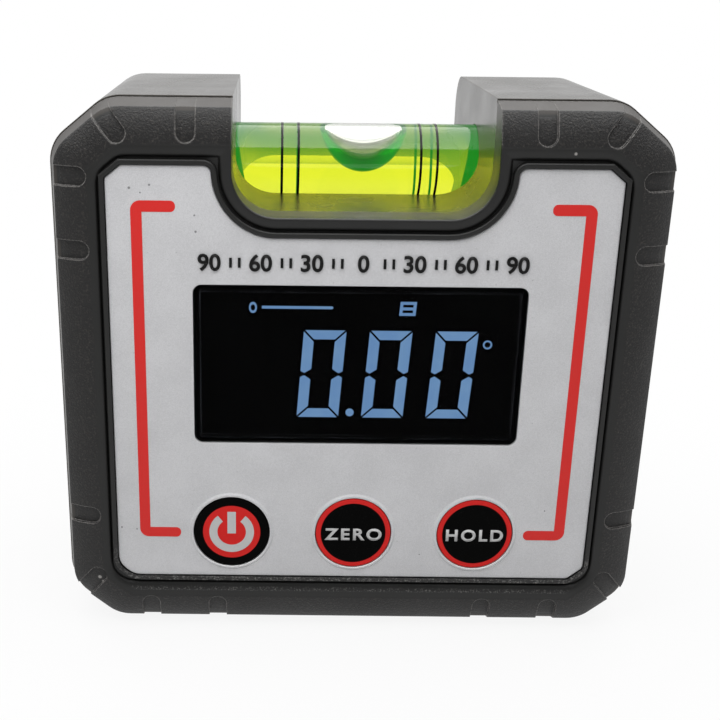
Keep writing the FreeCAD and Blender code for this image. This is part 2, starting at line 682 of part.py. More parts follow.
panelClear = slab("panel_clear", ahead, filmBack, panelOutline("Sizes.filmGap"))
lipGrow = "Sizes.filmGap + Sizes.lipWidth"
lipBlock = slab("lip_block", face, f"{valley} + Sizes.filmGap", panelOutline(lipGrow))
lipNotch = notchBlock("lip_notch", "Sizes.notchBand - Sizes.filmGap - Sizes.lipWidth",
                      ahead, behind)
lipPlate = roundPlate("lip_plate", cutAway("lip_sharp", lipBlock, [lipNotch]),
                      "Sizes.filmCorner + Sizes.lipWidth + Sizes.filmGap",
                      "Sizes.filmHeel + Sizes.lipWidth + Sizes.filmGap",
                      "Sizes.filmHeelRight + Sizes.lipWidth + Sizes.filmGap")
lip = softenFace("lip", lipPlate, size(face), "Sizes.lipEdge")
filmNotch = notchBlock("film_notch", "Sizes.notchBand - Sizes.filmGap", ahead, behind)
panelPocket = roundPlate("panel_pocket", cutAway("panel_pocket_sharp", panelClear, [filmNotch]),
                         "Sizes.filmCorner + Sizes.filmGap", "Sizes.filmHeel + Sizes.filmGap",
                         "Sizes.filmHeelRight + Sizes.filmGap")
notch = notchBlock("notch", "0", ahead, behind)

trayInset = "(Sizes.shellWall + Sizes.tongueGap + Sizes.tongueThick)"
trayBlock = slab("tray_block", wallBack, f"{seam} + Sizes.tongueLong + Sizes.cutOver", evenOutline(trayInset),
                 f"Sizes.cornerRadius - {trayInset}")
trayNotch = notchBlock("tray_notch", trayInset, ahead, behind)
tray = cutAway("tray", trayBlock, [trayNotch])
tongueOuter = slab("tongue_outer", wallBack, f"{seam} + Sizes.tongueLong",
                   evenOutline("Sizes.shellWall + Sizes.tongueGap"),
                   "Sizes.cornerRadius - Sizes.shellWall - Sizes.tongueGap")
tongueNotch = notchBlock("tongue_notch", "Sizes.shellWall + Sizes.tongueGap",
                         ahead, behind)
tongueRing = cutAway("tongue_ring", tongueOuter, [tongueNotch])

windowHole = slab("window_hole", ahead, f"{seam} + Sizes.cutOver",
                  rectangle(f"-{windowHalf}", windowHalf, windowLow, windowHigh), "Sizes.windowCorner")
keyNames = ("power", "zero", "hold")
keyPlaces = {"power": "(Sizes.keyShift - Sizes.keyPitch)", "zero": "(Sizes.keyShift)",
             "hold": "(Sizes.keyShift + Sizes.keyPitch)"}
keyHoles = []
for name in keyNames:
    start = (keyPlaces[name], ahead, "Sizes.keyZ")
    keyHoles.append(rod(name + "_hole", "y", start, "Sizes.keyRadius + Sizes.keyGap",
                        "Sizes.bezelDepth + Sizes.cutOver"))

boardScrewPlaces = []
for across in (f"(-{boardScrewX})", boardScrewX):
    for up in ("Sizes.boardScrewLowZ", "(Sizes.notchFloorZ - Sizes.boardScrewDrop)"):
        boardScrewPlaces.append((across, up))
boardPosts = []
boardPilots = []
for number, (across, up) in enumerate(boardScrewPlaces, start=1):
    boardPosts.append(rod("board_post_%d" % number, "y", (across, f"{wallBack} - Sizes.filmGap", up),
                          "Sizes.postRadius", f"{boardFace} - {wallBack} + Sizes.filmGap"))
    boardPilots.append(rod("board_pilot_%d" % number, "y",
                           (across, f"{boardBack} - Sizes.screwLength - Sizes.filmGap", up),
                           "Sizes.screwRadius", "Sizes.screwLength"))

caseScrewPlaces = []
for across in (f"(-{bossX})", bossX):
    for up in ("Sizes.bossLowZ", f"({top} - Sizes.bossDrop)"):
        caseScrewPlaces.append((across, up))
seat = f"({back} - Sizes.seatDepth)"
bossMeet = f"({seam} + Sizes.bossReach)"
screwTip = f"({seat} - Sizes.caseScrewLength)"
frontBosses = []
rearBosses = []
pilots = []
clearances = []
seats = []
for number, (across, up) in enumerate(caseScrewPlaces, start=1):
    frontBosses.append(rod("front_boss_%d" % number, "y", (across, f"{wallBack} - Sizes.filmGap", up),
                           "Sizes.bossRadius", f"{bossMeet} - {wallBack} + Sizes.filmGap"))
    rearBosses.append(rod("rear_boss_%d" % number, "y", (across, f"{bossMeet} + Sizes.fitGap", up),
                          "Sizes.bossRadius", f"{back} - {bossMeet} - Sizes.fitGap - Sizes.shellWall / 2"))
    pilots.append(rod("pilot_%d" % number, "y", (across, f"{screwTip} - Sizes.filmGap", up),
                      "Sizes.caseScrewRadius", f"{bossMeet} - {screwTip} + Sizes.cutOver"))
    clearances.append(rod("clearance_%d" % number, "y", (across, f"{bossMeet} - Sizes.cutOver", up),
                          "Sizes.caseScrewRadius + Sizes.fitGap", f"{back} - {bossMeet} + Sizes.cutOver"))
    seats.append(rod("seat_%d" % number, "y", (across, seat, up),
                     "Sizes.caseScrewHead + Sizes.tongueGap", "Sizes.seatDepth + Sizes.cutOver"))

frontOuter = join("front_outer", [cutAway("bezel_sunk", bezel, [channel]), lip, tongueRing])
frontTray = cutAway("front_tray", frontOuter, [tray, panelPocket])
frontSolid = join("front_solid", [frontTray] + boardPosts + frontBosses)
frontHousing = cutAway("front_housing", frontSolid,
                       [notch, notchEdge, windowHole, gripTool] + keyHoles + boardPilots + pilots)


# Rear housing: one box with a rounded back, the notch walls, the battery bay and the cups
rearOuter = slab("rear_outer", seam, back, evenOutline("0"), "Sizes.cornerRadius")
rearTip = rearOuter.Tip
rearEdge = edgesOnPlane(rearTip.Shape, depth, size(back))
roundEdges(rearOuter, "rear_outer_edge", rearTip, rearEdge, "Sizes.backRadius")
grooveOuter = slab("groove_outer", f"{seam} - Sizes.cutOver", f"{seam} + Sizes.grooveWide",
                   evenOutline("-Sizes.cutOver"))
grooveInner = slab("groove_inner", f"{seam} - 2 * Sizes.cutOver", f"{seam} + Sizes.grooveWide + Sizes.cutOver",
                   evenOutline("Sizes.grooveDeep"), "Sizes.cornerRadius - Sizes.grooveDeep")
groove = cutAway("groove", grooveOuter, [grooveInner])
cavityBlock = slab("cavity_block", f"{seam} - Sizes.cutOver", f"{back} - Sizes.shellWall",
                   evenOutline("Sizes.shellWall"), "Sizes.cornerRadius - Sizes.shellWall")
cavityNotch = notchBlock("cavity_notch", "Sizes.shellWall", ahead, behind)
cavity = cutAway("cavity", cavityBlock, [cavityNotch])

bayLow = f"(Sizes.bayZ - {bayRise})"
bayHigh = f"(Sizes.bayZ + {bayRise})"
bayBox = boxBetween("bay_box", f"-{bayHalf} - Sizes.bayWall", f"{bayHalf} + Sizes.bayWall",
                    f"{bayFloor} - Sizes.bayWall", f"{back} - Sizes.shellWall / 2",
                    f"{bayLow} - Sizes.bayWall", f"{bayHigh} + Sizes.bayWall")
bayRoom = boxBetween("bay_room", f"-{bayHalf}", bayHalf, bayFloor, behind, bayLow, bayHigh)


def bayOutline(grow):
    return rectangle(f"(-{bayHalf} - ({grow}))", f"({bayHalf} + ({grow}))",
                     f"({bayLow} - ({grow}))", f"({bayHigh} + ({grow}))")


doorSeat = slab("door_seat", doorFace, behind, bayOutline("Sizes.doorLap"), "Sizes.doorCorner")
doorFrame = slab("door_frame", f"{doorFace} - Sizes.bayWall", f"{back} - Sizes.shellWall / 2",
                 bayOutline("Sizes.doorLap + Sizes.bayWall"))

magnetPlaces = []
for across in ("(-Sizes.magnetX)", "(Sizes.magnetX)"):
    for side in ("-", "+"):
        magnetPlaces.append((across, f"(({seam} + {back}) / 2 {side} Sizes.magnetSpan)"))
cups = []
cupHoles = []
magnets = []
for number, (across, along) in enumerate(magnetPlaces, start=1):
    cups.append(rod("cup_%d" % number, "z", (across, along, "Sizes.shellWall / 2"),
                    "Sizes.magnetRadius + Sizes.magnetGap + Sizes.cupWall",
                    "Sizes.magnetThick + Sizes.cupWall + Sizes.magnetSink - Sizes.shellWall / 2"))
    cupHoles.append(rod("cup_hole_%d" % number, "z", (across, along, "-Sizes.cutOver"),
                        "Sizes.magnetRadius + Sizes.magnetGap",
                        "Sizes.magnetThick + Sizes.magnetSink + Sizes.cutOver"))
    magnets.append(rod("magnet_%d" % number, "z", (across, along, "Sizes.magnetSink"),
                       "Sizes.magnetRadius", "Sizes.magnetThick"))

saddles = []
for side, label in ((-1, "left"), (1, "right")):
    inner = "(Sizes.saddleReach - Sizes.saddleThick)"
    low, high = ("-Sizes.saddleReach", f"-{inner}") if side < 0 else (inner, "Sizes.saddleReach")
    saddles.append(boxBetween("saddle_" + label, low, high,
                              f"{vialY} - Sizes.vialRadius - Sizes.bayWall",
                              f"{vialY} + Sizes.vialRadius + Sizes.bayWall",
                              "Sizes.notchFloorZ - Sizes.shellWall", f"{top} - Sizes.shellWall / 2"))
vialStart = "(Sizes.vialShift - Sizes.vialLength / 2)"
vialHole = rod("vial_hole", "x", (f"{vialStart} - Sizes.vialGap", vialY, vialZ),
               "Sizes.vialRadius + Sizes.vialGap", "Sizes.vialLength + 2 * Sizes.vialGap")

trough = boxBetween("trough", f"-{notchHalf} - Sizes.shellWall / 2", f"{notchHalf} + Sizes.shellWall / 2",
                    f"{vialY} - Sizes.vialRadius", f"{vialY} + Sizes.vialRadius",
                    f"{vialZ} - Sizes.vialRadius - Sizes.bayWall", "Sizes.notchFloorZ - Sizes.shellWall / 2")

rearShell = cutAway("rear_shell", rearOuter, [cavity, groove])
rearSolid = join("rear_solid", [rearShell, bayBox, doorFrame, trough] + rearBosses + cups + saddles)
rearHousing = cutAway("rear_housing", rearSolid,
                      [notch, vialHole, bayRoom, doorSeat] + clearances + seats + cupHoles)

# Battery door with finger grooves, flush with the back
doorPlate = slab("door_plate", doorFace, back, bayOutline("Sizes.doorLap - Sizes.doorGap"),
                 "Sizes.doorCorner - Sizes.doorGap")
doorGrooves = []
for number in range(int(size("Sizes.doorGrooves"))):
    level = f"{bayHigh} - Sizes.cellRadius / 2 - {number} * Sizes.doorGroovePitch"
    doorGrooves.append(boxBetween("door_groove_%d" % (number + 1), "-Sizes.cellRadius", "Sizes.cellRadius",
                                  f"{back} - Sizes.doorGrooveWide", behind,
                                  level, f"{level} + Sizes.doorGrooveWide"))
batteryDoor = cutAway("battery_door", doorPlate, doorGrooves)

# Battery cells, side by side across the case, turned opposite ways
cells = []
for side, label in ((-1, "lower"), (1, "upper")):
    up = f"(Sizes.bayZ + {side} * {cellRise})"
    start = f"(-{cellSpan} / 2)"
    canStart = start if side > 0 else f"({start} + Sizes.cellNub)"
    nubStart = f"({start} + Sizes.cellLength - Sizes.filmGap)" if side > 0 else start
    can = rod("can_" + label, "x", (canStart, cellY, up), "Sizes.cellRadius", "Sizes.cellLength")
    nub = rod("nub_" + label, "x", (nubStart, cellY, up), "Sizes.cellNubRadius",
              "Sizes.cellNub + Sizes.filmGap")
    cells.append(join("battery_cell_" + label, [can, nub]))


# A stamped contact: a flat back on the bay's end wall and a leaf bowed towards the cell
def leafContact(name, side, up):
    body = doc.addObject("PartDesign::Body", name)
    wall = f"({side} * {bayHalf})"
    tip = f"({side} * ({cellSpan} / 2 + Sizes.layerGap))"
    low, high = f"({cellY} - Sizes.contactWide / 2)", f"({cellY} + Sizes.contactWide / 2)"
    thick = f"({side} * Sizes.contactThick)"
    profile = [
        (wall, low), (wall, high), (f"({wall} - {thick})", high),
        (f"({wall} - {thick})", f"({low} + 2 * Sizes.contactThick)"),
        (f"({tip} + {thick})", f"({cellY})"), (f"({tip} + {thick})", f"({cellY} + Sizes.cellNubRadius)"),
        (tip, f"({cellY} + Sizes.cellNubRadius)"), (tip, f"({cellY} - Sizes.contactThick / 2)"),
        (f"({wall} - {thick})", low),
    ]
    sketch = polygonSketch(body, name + "_profile", "XY_Plane", f"{up} - Sizes.contactWide / 2", profile)
    pad(body, name + "_pad", sketch, "Sizes.contactWide")
    return body


contactNodes = []
for side, label in ((-1, "left"), (1, "right")):
    leaves = []
    for row, rowLabel in ((-1, "lower"), (1, "upper")):
        up = f"(Sizes.bayZ + {row} * {cellRise})"
        leaves.append(leafContact("leaf_%s_%s" % (label, rowLabel), side, up))
    if side < 0:
        link = boxBetween("contact_link", f"-{bayHalf}", f"-{bayHalf} + Sizes.contactThick",
                          f"{cellY} - Sizes.contactWide / 2", f"{cellY} + Sizes.contactWide / 2",
                          f"Sizes.bayZ - {cellRise}", f"Sizes.bayZ + {cellRise}")
        contactNodes.append(join("battery_contact_" + label, leaves + [link]))
    else:
        contactNodes.append(group("battery_contacts_" + label, leaves))

# Faceplate film with a rolled edge and a raised collar round each key, lens and display
filmBlock = slab("film_block", panel, filmBack, panelOutline("0"))
filmCut = notchBlock("film_cut", "Sizes.notchBand", ahead, behind)
filmPlate = roundPlate("film_plate", cutAway("film_sharp", filmBlock, [filmCut]),
                       "Sizes.filmCorner", "Sizes.filmHeel", "Sizes.filmHeelRight")
filmSheet = softenFace("film_sheet", filmPlate, size(panel), "Sizes.filmEdge")
collarFoot = "(Sizes.keyRadius + Sizes.keyGap + Sizes.collarWide)"
collars = []
for name in keyNames:
    start = (keyPlaces[name], f"{panel} - Sizes.collarRise", "Sizes.keyZ")
    collars.append(taper(name + "_collar", start, f"{collarFoot} - Sizes.collarSlope", collarFoot,
                         "Sizes.collarRise"))
faceplate = cutAway("faceplate_film", join("film_raised", [filmSheet] + collars), [windowHole] + keyHoles)
lens = slab("display_window", f"{panel} + Sizes.layerGap", lensBack,
            rectangle(f"-{windowHalf} + Sizes.fitGap", f"{windowHalf} - Sizes.fitGap",
                      f"{windowLow} + Sizes.fitGap", f"{windowHigh} - Sizes.fitGap"), "Sizes.windowCorner")
glass = slab("lcd_glass", glassFace, glassBack,
             rectangle(f"-{windowHalf} + 2 * Sizes.fitGap", f"{windowHalf} - 2 * Sizes.fitGap",
                       f"{windowLow} + 2 * Sizes.fitGap", f"{windowHigh} - 2 * Sizes.fitGap"),
             "Sizes.windowCorner")
guide = slab("light_guide", guideFace, f"{guideFace} + Sizes.guideThick",
             rectangle(f"-{windowHalf} + 2 * Sizes.fitGap", f"{windowHalf} - 2 * Sizes.fitGap",
                       f"{windowLow} + Sizes.guideTrim", f"{windowHigh} - 2 * Sizes.fitGap"))
strip = slab("contact_strip", guideFace, f"{boardFace} - Sizes.layerGap",
             rectangle(f"-{windowHalf} + Sizes.stripTrim", f"{windowHalf} - Sizes.stripTrim",
                       f"{windowLow} + 2 * Sizes.fitGap", f"{windowLow} + Sizes.stripThick"))

# Seven bars round a leaning zero, without the middle bar, three digits and a point
segmentY = f"({glassFace} - Sizes.segmentThick)"


def leaning(across, up):
    return (f"({across} + Sizes.digitLean * ({up}) / Sizes.digitHeight)", f"(Sizes.digitBaseZ + {up})")


segments = []
barGap = "Sizes.segmentGap"
wide = "Sizes.segmentWide"
tall = "Sizes.digitHeight"
levelBar = [
    (barGap, "0"), (f"Sizes.digitWidth - {barGap}", "0"),
    (f"Sizes.digitWidth - {barGap} - Sizes.segmentTall", "Sizes.segmentTall"),
    (f"{barGap} + Sizes.segmentTall", "Sizes.segmentTall"),
]
tip = f"({tall} / 2 - Sizes.tipGap)"
uprightBar = [
    ("0", barGap), (wide, f"{wide} + {barGap}"), (wide, f"{tip} - Sizes.tipInner"),
    ("Sizes.tipAcross", tip), ("0", f"{tip} - Sizes.tipOuter"),
]
for number in range(3):
    left = f"(Sizes.digitStartX + {number} * Sizes.digitPitch)"
    right = f"({left} + Sizes.digitWidth)"
    for rowLabel in ("low", "high"):
        corners = [leaning(f"{left} + {across}", up if rowLabel == "low" else f"({tall} - {up})")
                   for across, up in levelBar]
        segments.append(slab("bar_%d_%s" % (number + 1, rowLabel), segmentY, glassFace, corners))
        for sideLabel in ("left", "right"):
            corners = []
            for across, up in uprightBar:
                place = f"{left} + {across}" if sideLabel == "left" else f"{right} - {across}"
                corners.append(leaning(place, f"({up})" if rowLabel == "low" else f"({tall} - ({up}))"))
            segments.append(slab("bar_%d_%s_%s" % (number + 1, sideLabel, rowLabel), segmentY, glassFace,
                                 corners))
pointX = "(Sizes.digitStartX + Sizes.digitPitch - (Sizes.digitPitch - Sizes.digitWidth) / 2)"
segments.append(rod("decimal_point", "y", (pointX, segmentY, "Sizes.digitBaseZ + Sizes.segmentWide / 2"),
                    "Sizes.pointRadius", "Sizes.segmentThick"))
digits = group("lcd_segments", segments)

# Circuit board with its chips, switches and screws
board = slab("board_blank", boardFace, boardBack, [
    ("-Sizes.boardNeck / 2", "Sizes.boardBaseZ"), ("Sizes.boardNeck / 2", "Sizes.boardBaseZ"),
    ("Sizes.boardNeck / 2", "Sizes.boardStepZ"), (boardHalf, "Sizes.boardStepZ"),
    (boardHalf, boardTop), (f"-{boardHalf}", boardTop),
    (f"-{boardHalf}", "Sizes.boardStepZ"), ("-Sizes.boardNeck / 2", "Sizes.boardStepZ"),
])
boardHoles = []
boardScrews = []
for number, (across, up) in enumerate(boardScrewPlaces, start=1):
    boardHoles.append(rod("board_hole_%d" % number, "y", (across, f"{boardFace} - Sizes.cutOver", up),
                          "Sizes.screwRadius + Sizes.fitGap", "Sizes.boardThick + 2 * Sizes.cutOver"))
    shank = rod("shank_%d" % number, "y", (across, f"{boardBack} - Sizes.screwLength", up),
                "Sizes.screwRadius", "Sizes.screwLength + Sizes.filmGap")
    head = rod("head_%d" % number, "y", (across, boardBack, up), "Sizes.screwHead", "Sizes.headThick")
    boardScrews.append(join("board_screw_%d" % number, [shank, head]))
circuitBoard = cutAway("circuit_board", board, boardHoles)
controller = boxBetween("controller_chip", "-Sizes.chipSize / 2", "Sizes.chipSize / 2",
                        boardBack, f"{boardBack} + Sizes.chipThick",
                        "Sizes.windowZ - Sizes.chipSize / 2", "Sizes.windowZ + Sizes.chipSize / 2")
sensor = boxBetween("tilt_sensor", f"{windowHalf} - Sizes.sensorSize", windowHalf,
                    boardBack, f"{boardBack} + Sizes.chipThick",
                    "Sizes.windowZ - Sizes.sensorSize / 2", "Sizes.windowZ + Sizes.sensorSize / 2")
switches = []
for name in keyNames:
    across = keyPlaces[name]
    switchBody = boxBetween(name + "_switch_body", f"{across} - Sizes.switchSize / 2",
                            f"{across} + Sizes.switchSize / 2", switchFace, boardFace,
                            "Sizes.keyZ + Sizes.switchRaise - Sizes.switchSize / 2",
                            "Sizes.keyZ + Sizes.switchRaise + Sizes.switchSize / 2")
    plunger = rod(name + "_plunger", "y", (across, plungerFace, "Sizes.keyZ"),
                  "Sizes.plungerRadius", f"{switchFace} - {plungerFace} + Sizes.filmGap")
    switches.append(join(name + "_switch", [switchBody, plunger]))


# A key: a cap with a softened edge in the faceplate's hole, a flange that the front wall
# holds in, and a stem down to its switch
def key(name):
    across = keyPlaces[name]
    body = doc.addObject("PartDesign::Body", name + "_button")
    cap = circleSketch(body, name + "_cap_circle", "XZ_Plane", f"-{flangeBack}", across, "Sizes.keyZ",
                       "Sizes.keyRadius")
    capPad = pad(body, name + "_cap", cap, f"{flangeBack} - {keyFace}")
    rim = edgesOnPlane(capPad.Shape, depth, size(keyFace))
    roundEdges(body, name + "_cap_edge", capPad, rim, "Sizes.keyEdge")
    flange = circleSketch(body, name + "_flange_circle", "XZ_Plane", f"-{flangeBack}", across,
                          "Sizes.keyZ", "Sizes.keyRadius + Sizes.keyFlange")
    pad(body, name + "_flange", flange, "Sizes.flangeThick")
    stem = circleSketch(body, name + "_stem_circle", "XZ_Plane", f"-{stemEnd}", across, "Sizes.keyZ",
                        "Sizes.keyStem")
    pad(body, name + "_stem", stem, f"{stemEnd} - {flangeBack} + Sizes.filmGap")
    return body


keys = [key(name) for name in keyNames]

# Vial: a clear tube with a blind bore, a plug, the liquid, the bubble and four printed rings
vialBlank = rod("vial_blank", "x", (vialStart, vialY, vialZ), "Sizes.vialRadius", "Sizes.vialLength")
boreCut = rod("bore_cut", "x", (boreStart, vialY, vialZ), "Sizes.boreRadius",
              f"{vialStart} + Sizes.vialLength - {boreStart} + Sizes.cutOver")
vialTube = cutAway("vial_tube", vialBlank, [boreCut])
plug = rod("vial_plug", "x", (boreEnd, vialY, vialZ), "Sizes.boreRadius - Sizes.liquidGap",
           "Sizes.plugThick")
liquidBlank = rod("liquid_blank", "x", (f"{boreStart} + Sizes.liquidGap", vialY, vialZ),
                  "Sizes.boreRadius - Sizes.liquidGap", "Sizes.boreLength - 2 * Sizes.liquidGap")


# The bubble: a rounded lozenge lying against the top of the bore
def lozenge(name, grow):
    ball = doc.addObject("Part::Ellipsoid", name)
    ball.setExpression("Radius1", f"Sizes.bubbleDeep + ({grow})")
    ball.setExpression("Radius2", f"Sizes.bubbleHalf + ({grow})")
    ball.setExpression("Radius3", f"Sizes.bubbleWide + ({grow})")
    ball.setExpression("Placement.Base.x", bubbleX)
    ball.setExpression("Placement.Base.y", vialY)
    ball.setExpression("Placement.Base.z", bubbleZ)
    return ball


bubbleHead = rod("bubble_head", "x", (f"{bubbleX} - Sizes.bubbleHalf * 2", vialY, vialZ),
                 "Sizes.boreRadius - Sizes.bubbleGap", "Sizes.bubbleHalf * 4")
bubble = overlap("vial_bubble", bubbleHead, lozenge("bubble_form", "0"))
bubbleHeadRoom = lozenge("bubble_room", "Sizes.bubbleGap")
liquid = cutAway("vial_liquid", liquidBlank, [bubbleHeadRoom])
ringSolids = []
ringPlaces = ("-Sizes.ringOuter", "-Sizes.ringInner", "Sizes.ringInner", "Sizes.ringOuter")
for number, place in enumerate(ringPlaces, start=1):
    start = f"Sizes.vialShift + ({place}) - Sizes.ringWide / 2"
    band = rod("ring_band_%d" % number, "x", (start, vialY, vialZ),
               "Sizes.vialRadius + Sizes.ringThick", "Sizes.ringWide")
    core = rod("ring_core_%d" % number, "x", (f"{start} - Sizes.cutOver", vialY, vialZ),
               "Sizes.vialRadius", "Sizes.ringWide + 2 * Sizes.cutOver")
    ringSolids.append(cutAway("ring_%d" % number, band, [core]))

# Edges that run front to back at a given distance from the middle
def edgesBeside(shape, reach):
    found = []
    for edge in edgesAlong(shape, depth):
        if abs(abs(shape.getElement(edge).CenterOfMass.x) - reach) < closeEnough:
            found.append(edge)
    return found


# Printed red brackets on the faceplate
brackets = []
for side, label in ((-1, "left"), (1, "right")):
    outer = f"({side} * {bracketX})"
    inner = f"({side} * ({bracketX} - Sizes.bracketWide))"
    end = f"({side} * ({bracketX} - Sizes.bracketArm))"
    corners = [
        (end, bracketLow), (outer, bracketLow), (outer, bracketTop), (end, bracketTop),
        (end, f"{bracketTop} - Sizes.bracketWide"), (inner, f"{bracketTop} - Sizes.bracketWide"),
        (inner, f"{bracketLow} + Sizes.bracketWide"), (end, f"{bracketLow} + Sizes.bracketWide"),
    ]
    body = slab("bracket_" + label, f"{panel} - Sizes.printThick", panel, corners)
    roundEdges(body, label + "_corners", body.Tip,
               edgesBeside(body.Tip.Shape, size(bracketX)), "Sizes.bracketCorner")
    roundEdges(body, label + "_ends", body.Tip,
               edgesBeside(body.Tip.Shape, size(f"{bracketX} - Sizes.bracketArm")), "Sizes.bracketEnd")
    brackets.append(body)

# Case screws from the back
caseScrews = []
for number, (across, up) in enumerate(caseScrewPlaces, start=1):
    shank = rod("case_shank_%d" % number, "y", (across, screwTip, up), "Sizes.caseScrewRadius",
                "Sizes.caseScrewLength + Sizes.filmGap")
    head = rod("case_head_%d" % number, "y", (across, seat, up), "Sizes.caseScrewHead", "Sizes.headThick")
    caseScrews.append(join("case_screw_%d" % number, [shank, head]))

nodes = [
    frontHousing, rearHousing, faceplate, lens, glass, digits, guide, strip, circuitBoard,
    controller, sensor, batteryDoor, vialTube, plug, liquid, bubble,
    group("vial_rings", ringSolids), group("tactile_switches", switches),
    group("board_screws", boardScrews), group("case_screws", caseScrews),
    group("base_magnets", magnets), group("panel_brackets", brackets),
] + keys + cells + contactNodes

doc.recompute()
for item in doc.Objects:
    if "Invalid" in item.State or "Error" in item.State:
        raise RuntimeError("failed: %s %s" % (item.Name, item.State))
for node in nodes:
    shape = node.Shape
    if shape.isNull() or not shape.isValid():
        raise RuntimeError("bad shape: " + node.Label)
for node in nodes:
    node.Shape.exportStep("parts/%s.step" % node.Label)
    print(node.Label, len(node.Shape.Solids), round(node.Shape.Volume, 2))
print("nodes", len(nodes))
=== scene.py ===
import math
import bmesh
import bpy
from mathutils import Matrix, Vector


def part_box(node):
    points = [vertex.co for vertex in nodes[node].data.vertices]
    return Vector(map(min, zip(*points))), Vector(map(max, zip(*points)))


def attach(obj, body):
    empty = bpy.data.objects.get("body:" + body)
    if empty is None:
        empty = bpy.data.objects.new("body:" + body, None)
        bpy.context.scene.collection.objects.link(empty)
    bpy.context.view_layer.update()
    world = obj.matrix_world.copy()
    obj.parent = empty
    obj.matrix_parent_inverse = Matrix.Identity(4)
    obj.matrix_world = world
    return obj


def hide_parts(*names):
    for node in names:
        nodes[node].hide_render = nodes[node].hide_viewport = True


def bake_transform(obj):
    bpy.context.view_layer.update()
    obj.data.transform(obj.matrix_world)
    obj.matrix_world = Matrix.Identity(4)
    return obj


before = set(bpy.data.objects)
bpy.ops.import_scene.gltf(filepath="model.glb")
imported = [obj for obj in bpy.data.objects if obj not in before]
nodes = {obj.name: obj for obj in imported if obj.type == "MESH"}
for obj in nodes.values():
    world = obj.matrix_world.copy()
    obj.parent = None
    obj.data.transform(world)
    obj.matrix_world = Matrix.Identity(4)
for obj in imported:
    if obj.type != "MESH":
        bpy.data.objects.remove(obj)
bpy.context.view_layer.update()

# Pocket digital level: two dark case halves, silver faceplate, lit display, three round keys
# and a bubble vial in a notch through the top. Sizes are in millimetres and turned to metres here.
scene = bpy.context.scene
mm = 0.001
print("frame loaded:", len(nodes), "nodes")


def low(node, axis):  # lowest place of a node along x, y or z, in millimetres
    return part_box(node)[0]["xyz".index(axis)] / mm


def high(node, axis):
    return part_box(node)[1]["xyz".index(axis)] / mm


def middle(node, axis):
    return (low(node, axis) + high(node, axis)) / 2


# Places that several pieces share, read from the frame
caseHalf = high("rear_housing", "x")
caseTop = high("rear_housing", "z")
lipFace = low("front_housing", "y")
filmFace = low("faceplate_film", "y")
seamY = low("rear_housing", "y")
vialX = middle("vial_tube", "x")
vialY = middle("vial_tube", "y")
vialZ = middle("vial_tube", "z")
vialRadius = (high("vial_tube", "z") - low("vial_tube", "z")) / 2


# Colours and nodes


def linear(code):  # an sRGB hex value as the linear colour that shaders take
    shares = [int(code[spot:spot + 2], 16) / 255 for spot in (0, 2, 4)]
    return tuple(v / 12.92 if v <= 0.04045 else ((v + 0.055) / 1.055) ** 2.4 for v in shares) + (1.0,)


def addNode(tree, kind, settings=None, links=None):  # a link comes from a socket, or from a node's first live one
    node = tree.nodes.new(kind)
    for name, value in (settings or {}).items():
        if isinstance(name, int) or name in node.inputs:
            node.inputs[name].default_value = value
        else:
            setattr(node, name, value)
    for name, source in (links or {}).items():
        if isinstance(source, bpy.types.Node):
            source = next(socket for socket in source.outputs if socket.enabled)
        tree.links.new(source, node.inputs[name])
    return node


softStep = {"interpolation_type": "SMOOTHSTEP"}  # a mapped range with soft ends
white = linear("ffffff")


def startMaterial(name, colour, settings):
    material = bpy.data.materials.new(name)
    material.use_nodes = True
    tree = material.node_tree
    shader = tree.nodes["Principled BSDF"]
    shader.inputs["Base Color"].default_value = linear(colour)
    for socket, value in settings.items():
        shader.inputs[socket].default_value = value
    place = addNode(tree, "ShaderNodeTexCoord").outputs["Object"]
    return material, tree, shader, place


def perMetre(size):  # noise scale for features of a size in millimetres
    return 1 / (size * mm)


def finishWith(tree, shader, links):  # leads finished colour, roughness and normal nodes into the shader
    for socket, node in links.items():
        source = next(output for output in node.outputs if output.enabled)
        tree.links.new(source, shader.inputs[socket])


def nearSpots(tree, place, spots):  # 1 inside any of the small round spots, given as a place and a radius
    found = None
    for spot, radius in spots:
        away = addNode(tree, "ShaderNodeVectorMath",
                       {"operation": "DISTANCE", 1: [value * mm for value in spot]}, {0: place})
        inside = addNode(tree, "ShaderNodeMapRange",
                         {**softStep, 1: radius * 1.2 * mm, 2: radius * 0.6 * mm}, {0: away})
        if found is None:
            found = inside
        else:
            found = addNode(tree, "ShaderNodeMath", {"operation": "MAXIMUM"}, {0: found, 1: inside})
    return found


def edgeMask(tree, rounded, start, end):  # 1 where the rounded normal leaves the face's own, so at an edge
    flat = addNode(tree, "ShaderNodeNewGeometry").outputs["True Normal"]
    same = addNode(tree, "ShaderNodeVectorMath", {"operation": "DOT_PRODUCT"}, {0: rounded, 1: flat})
    return addNode(tree, "ShaderNodeMapRange",
                   {**softStep, 1: start, 2: end}, {0: same})


def dress(node, material):
    piece = nodes[node]
    if not piece.material_slots:
        piece.data.materials.append(material)
    for place in piece.material_slots:
        place.material = material


# Case

# the pale rim colour is partly wear and partly painted highlight on the bezel's edges
frontAbs = {"colour": "0f0e0e", "spark": "2e2b28", "smooth": "0f0f0e", "strip": "26221e", "wornLitRim": "8a8784",
            "lowLipPale": "777674", "grain": 0.19, "grainDepth": 0.08, "bezelWidth": 4.2, "stripEnd": 2.55,
            "lipStart": 4.8, "rounding": 0.22, "cut": (5.7, 4.6), "fineGrain": 0.07, "cloud": 5.0,
            "gloss": (0.36, 0.48), "ragged": 0.35, "lowLip": (12, 6), "pink": "b79a98",
            "scars": [((19.9, -15.7, 52.05), 0.16), ((-27.2, -15.3, 6.1), 0.22), ((-26.9, -15.4, 5.6), 0.18)],
            "specks": [((-26.2, -15.0, 4.1), 0.16), ((26.9, -15.2, 20.0), 0.1), ((-27.6, -15.2, 33.0), 0.1)]}


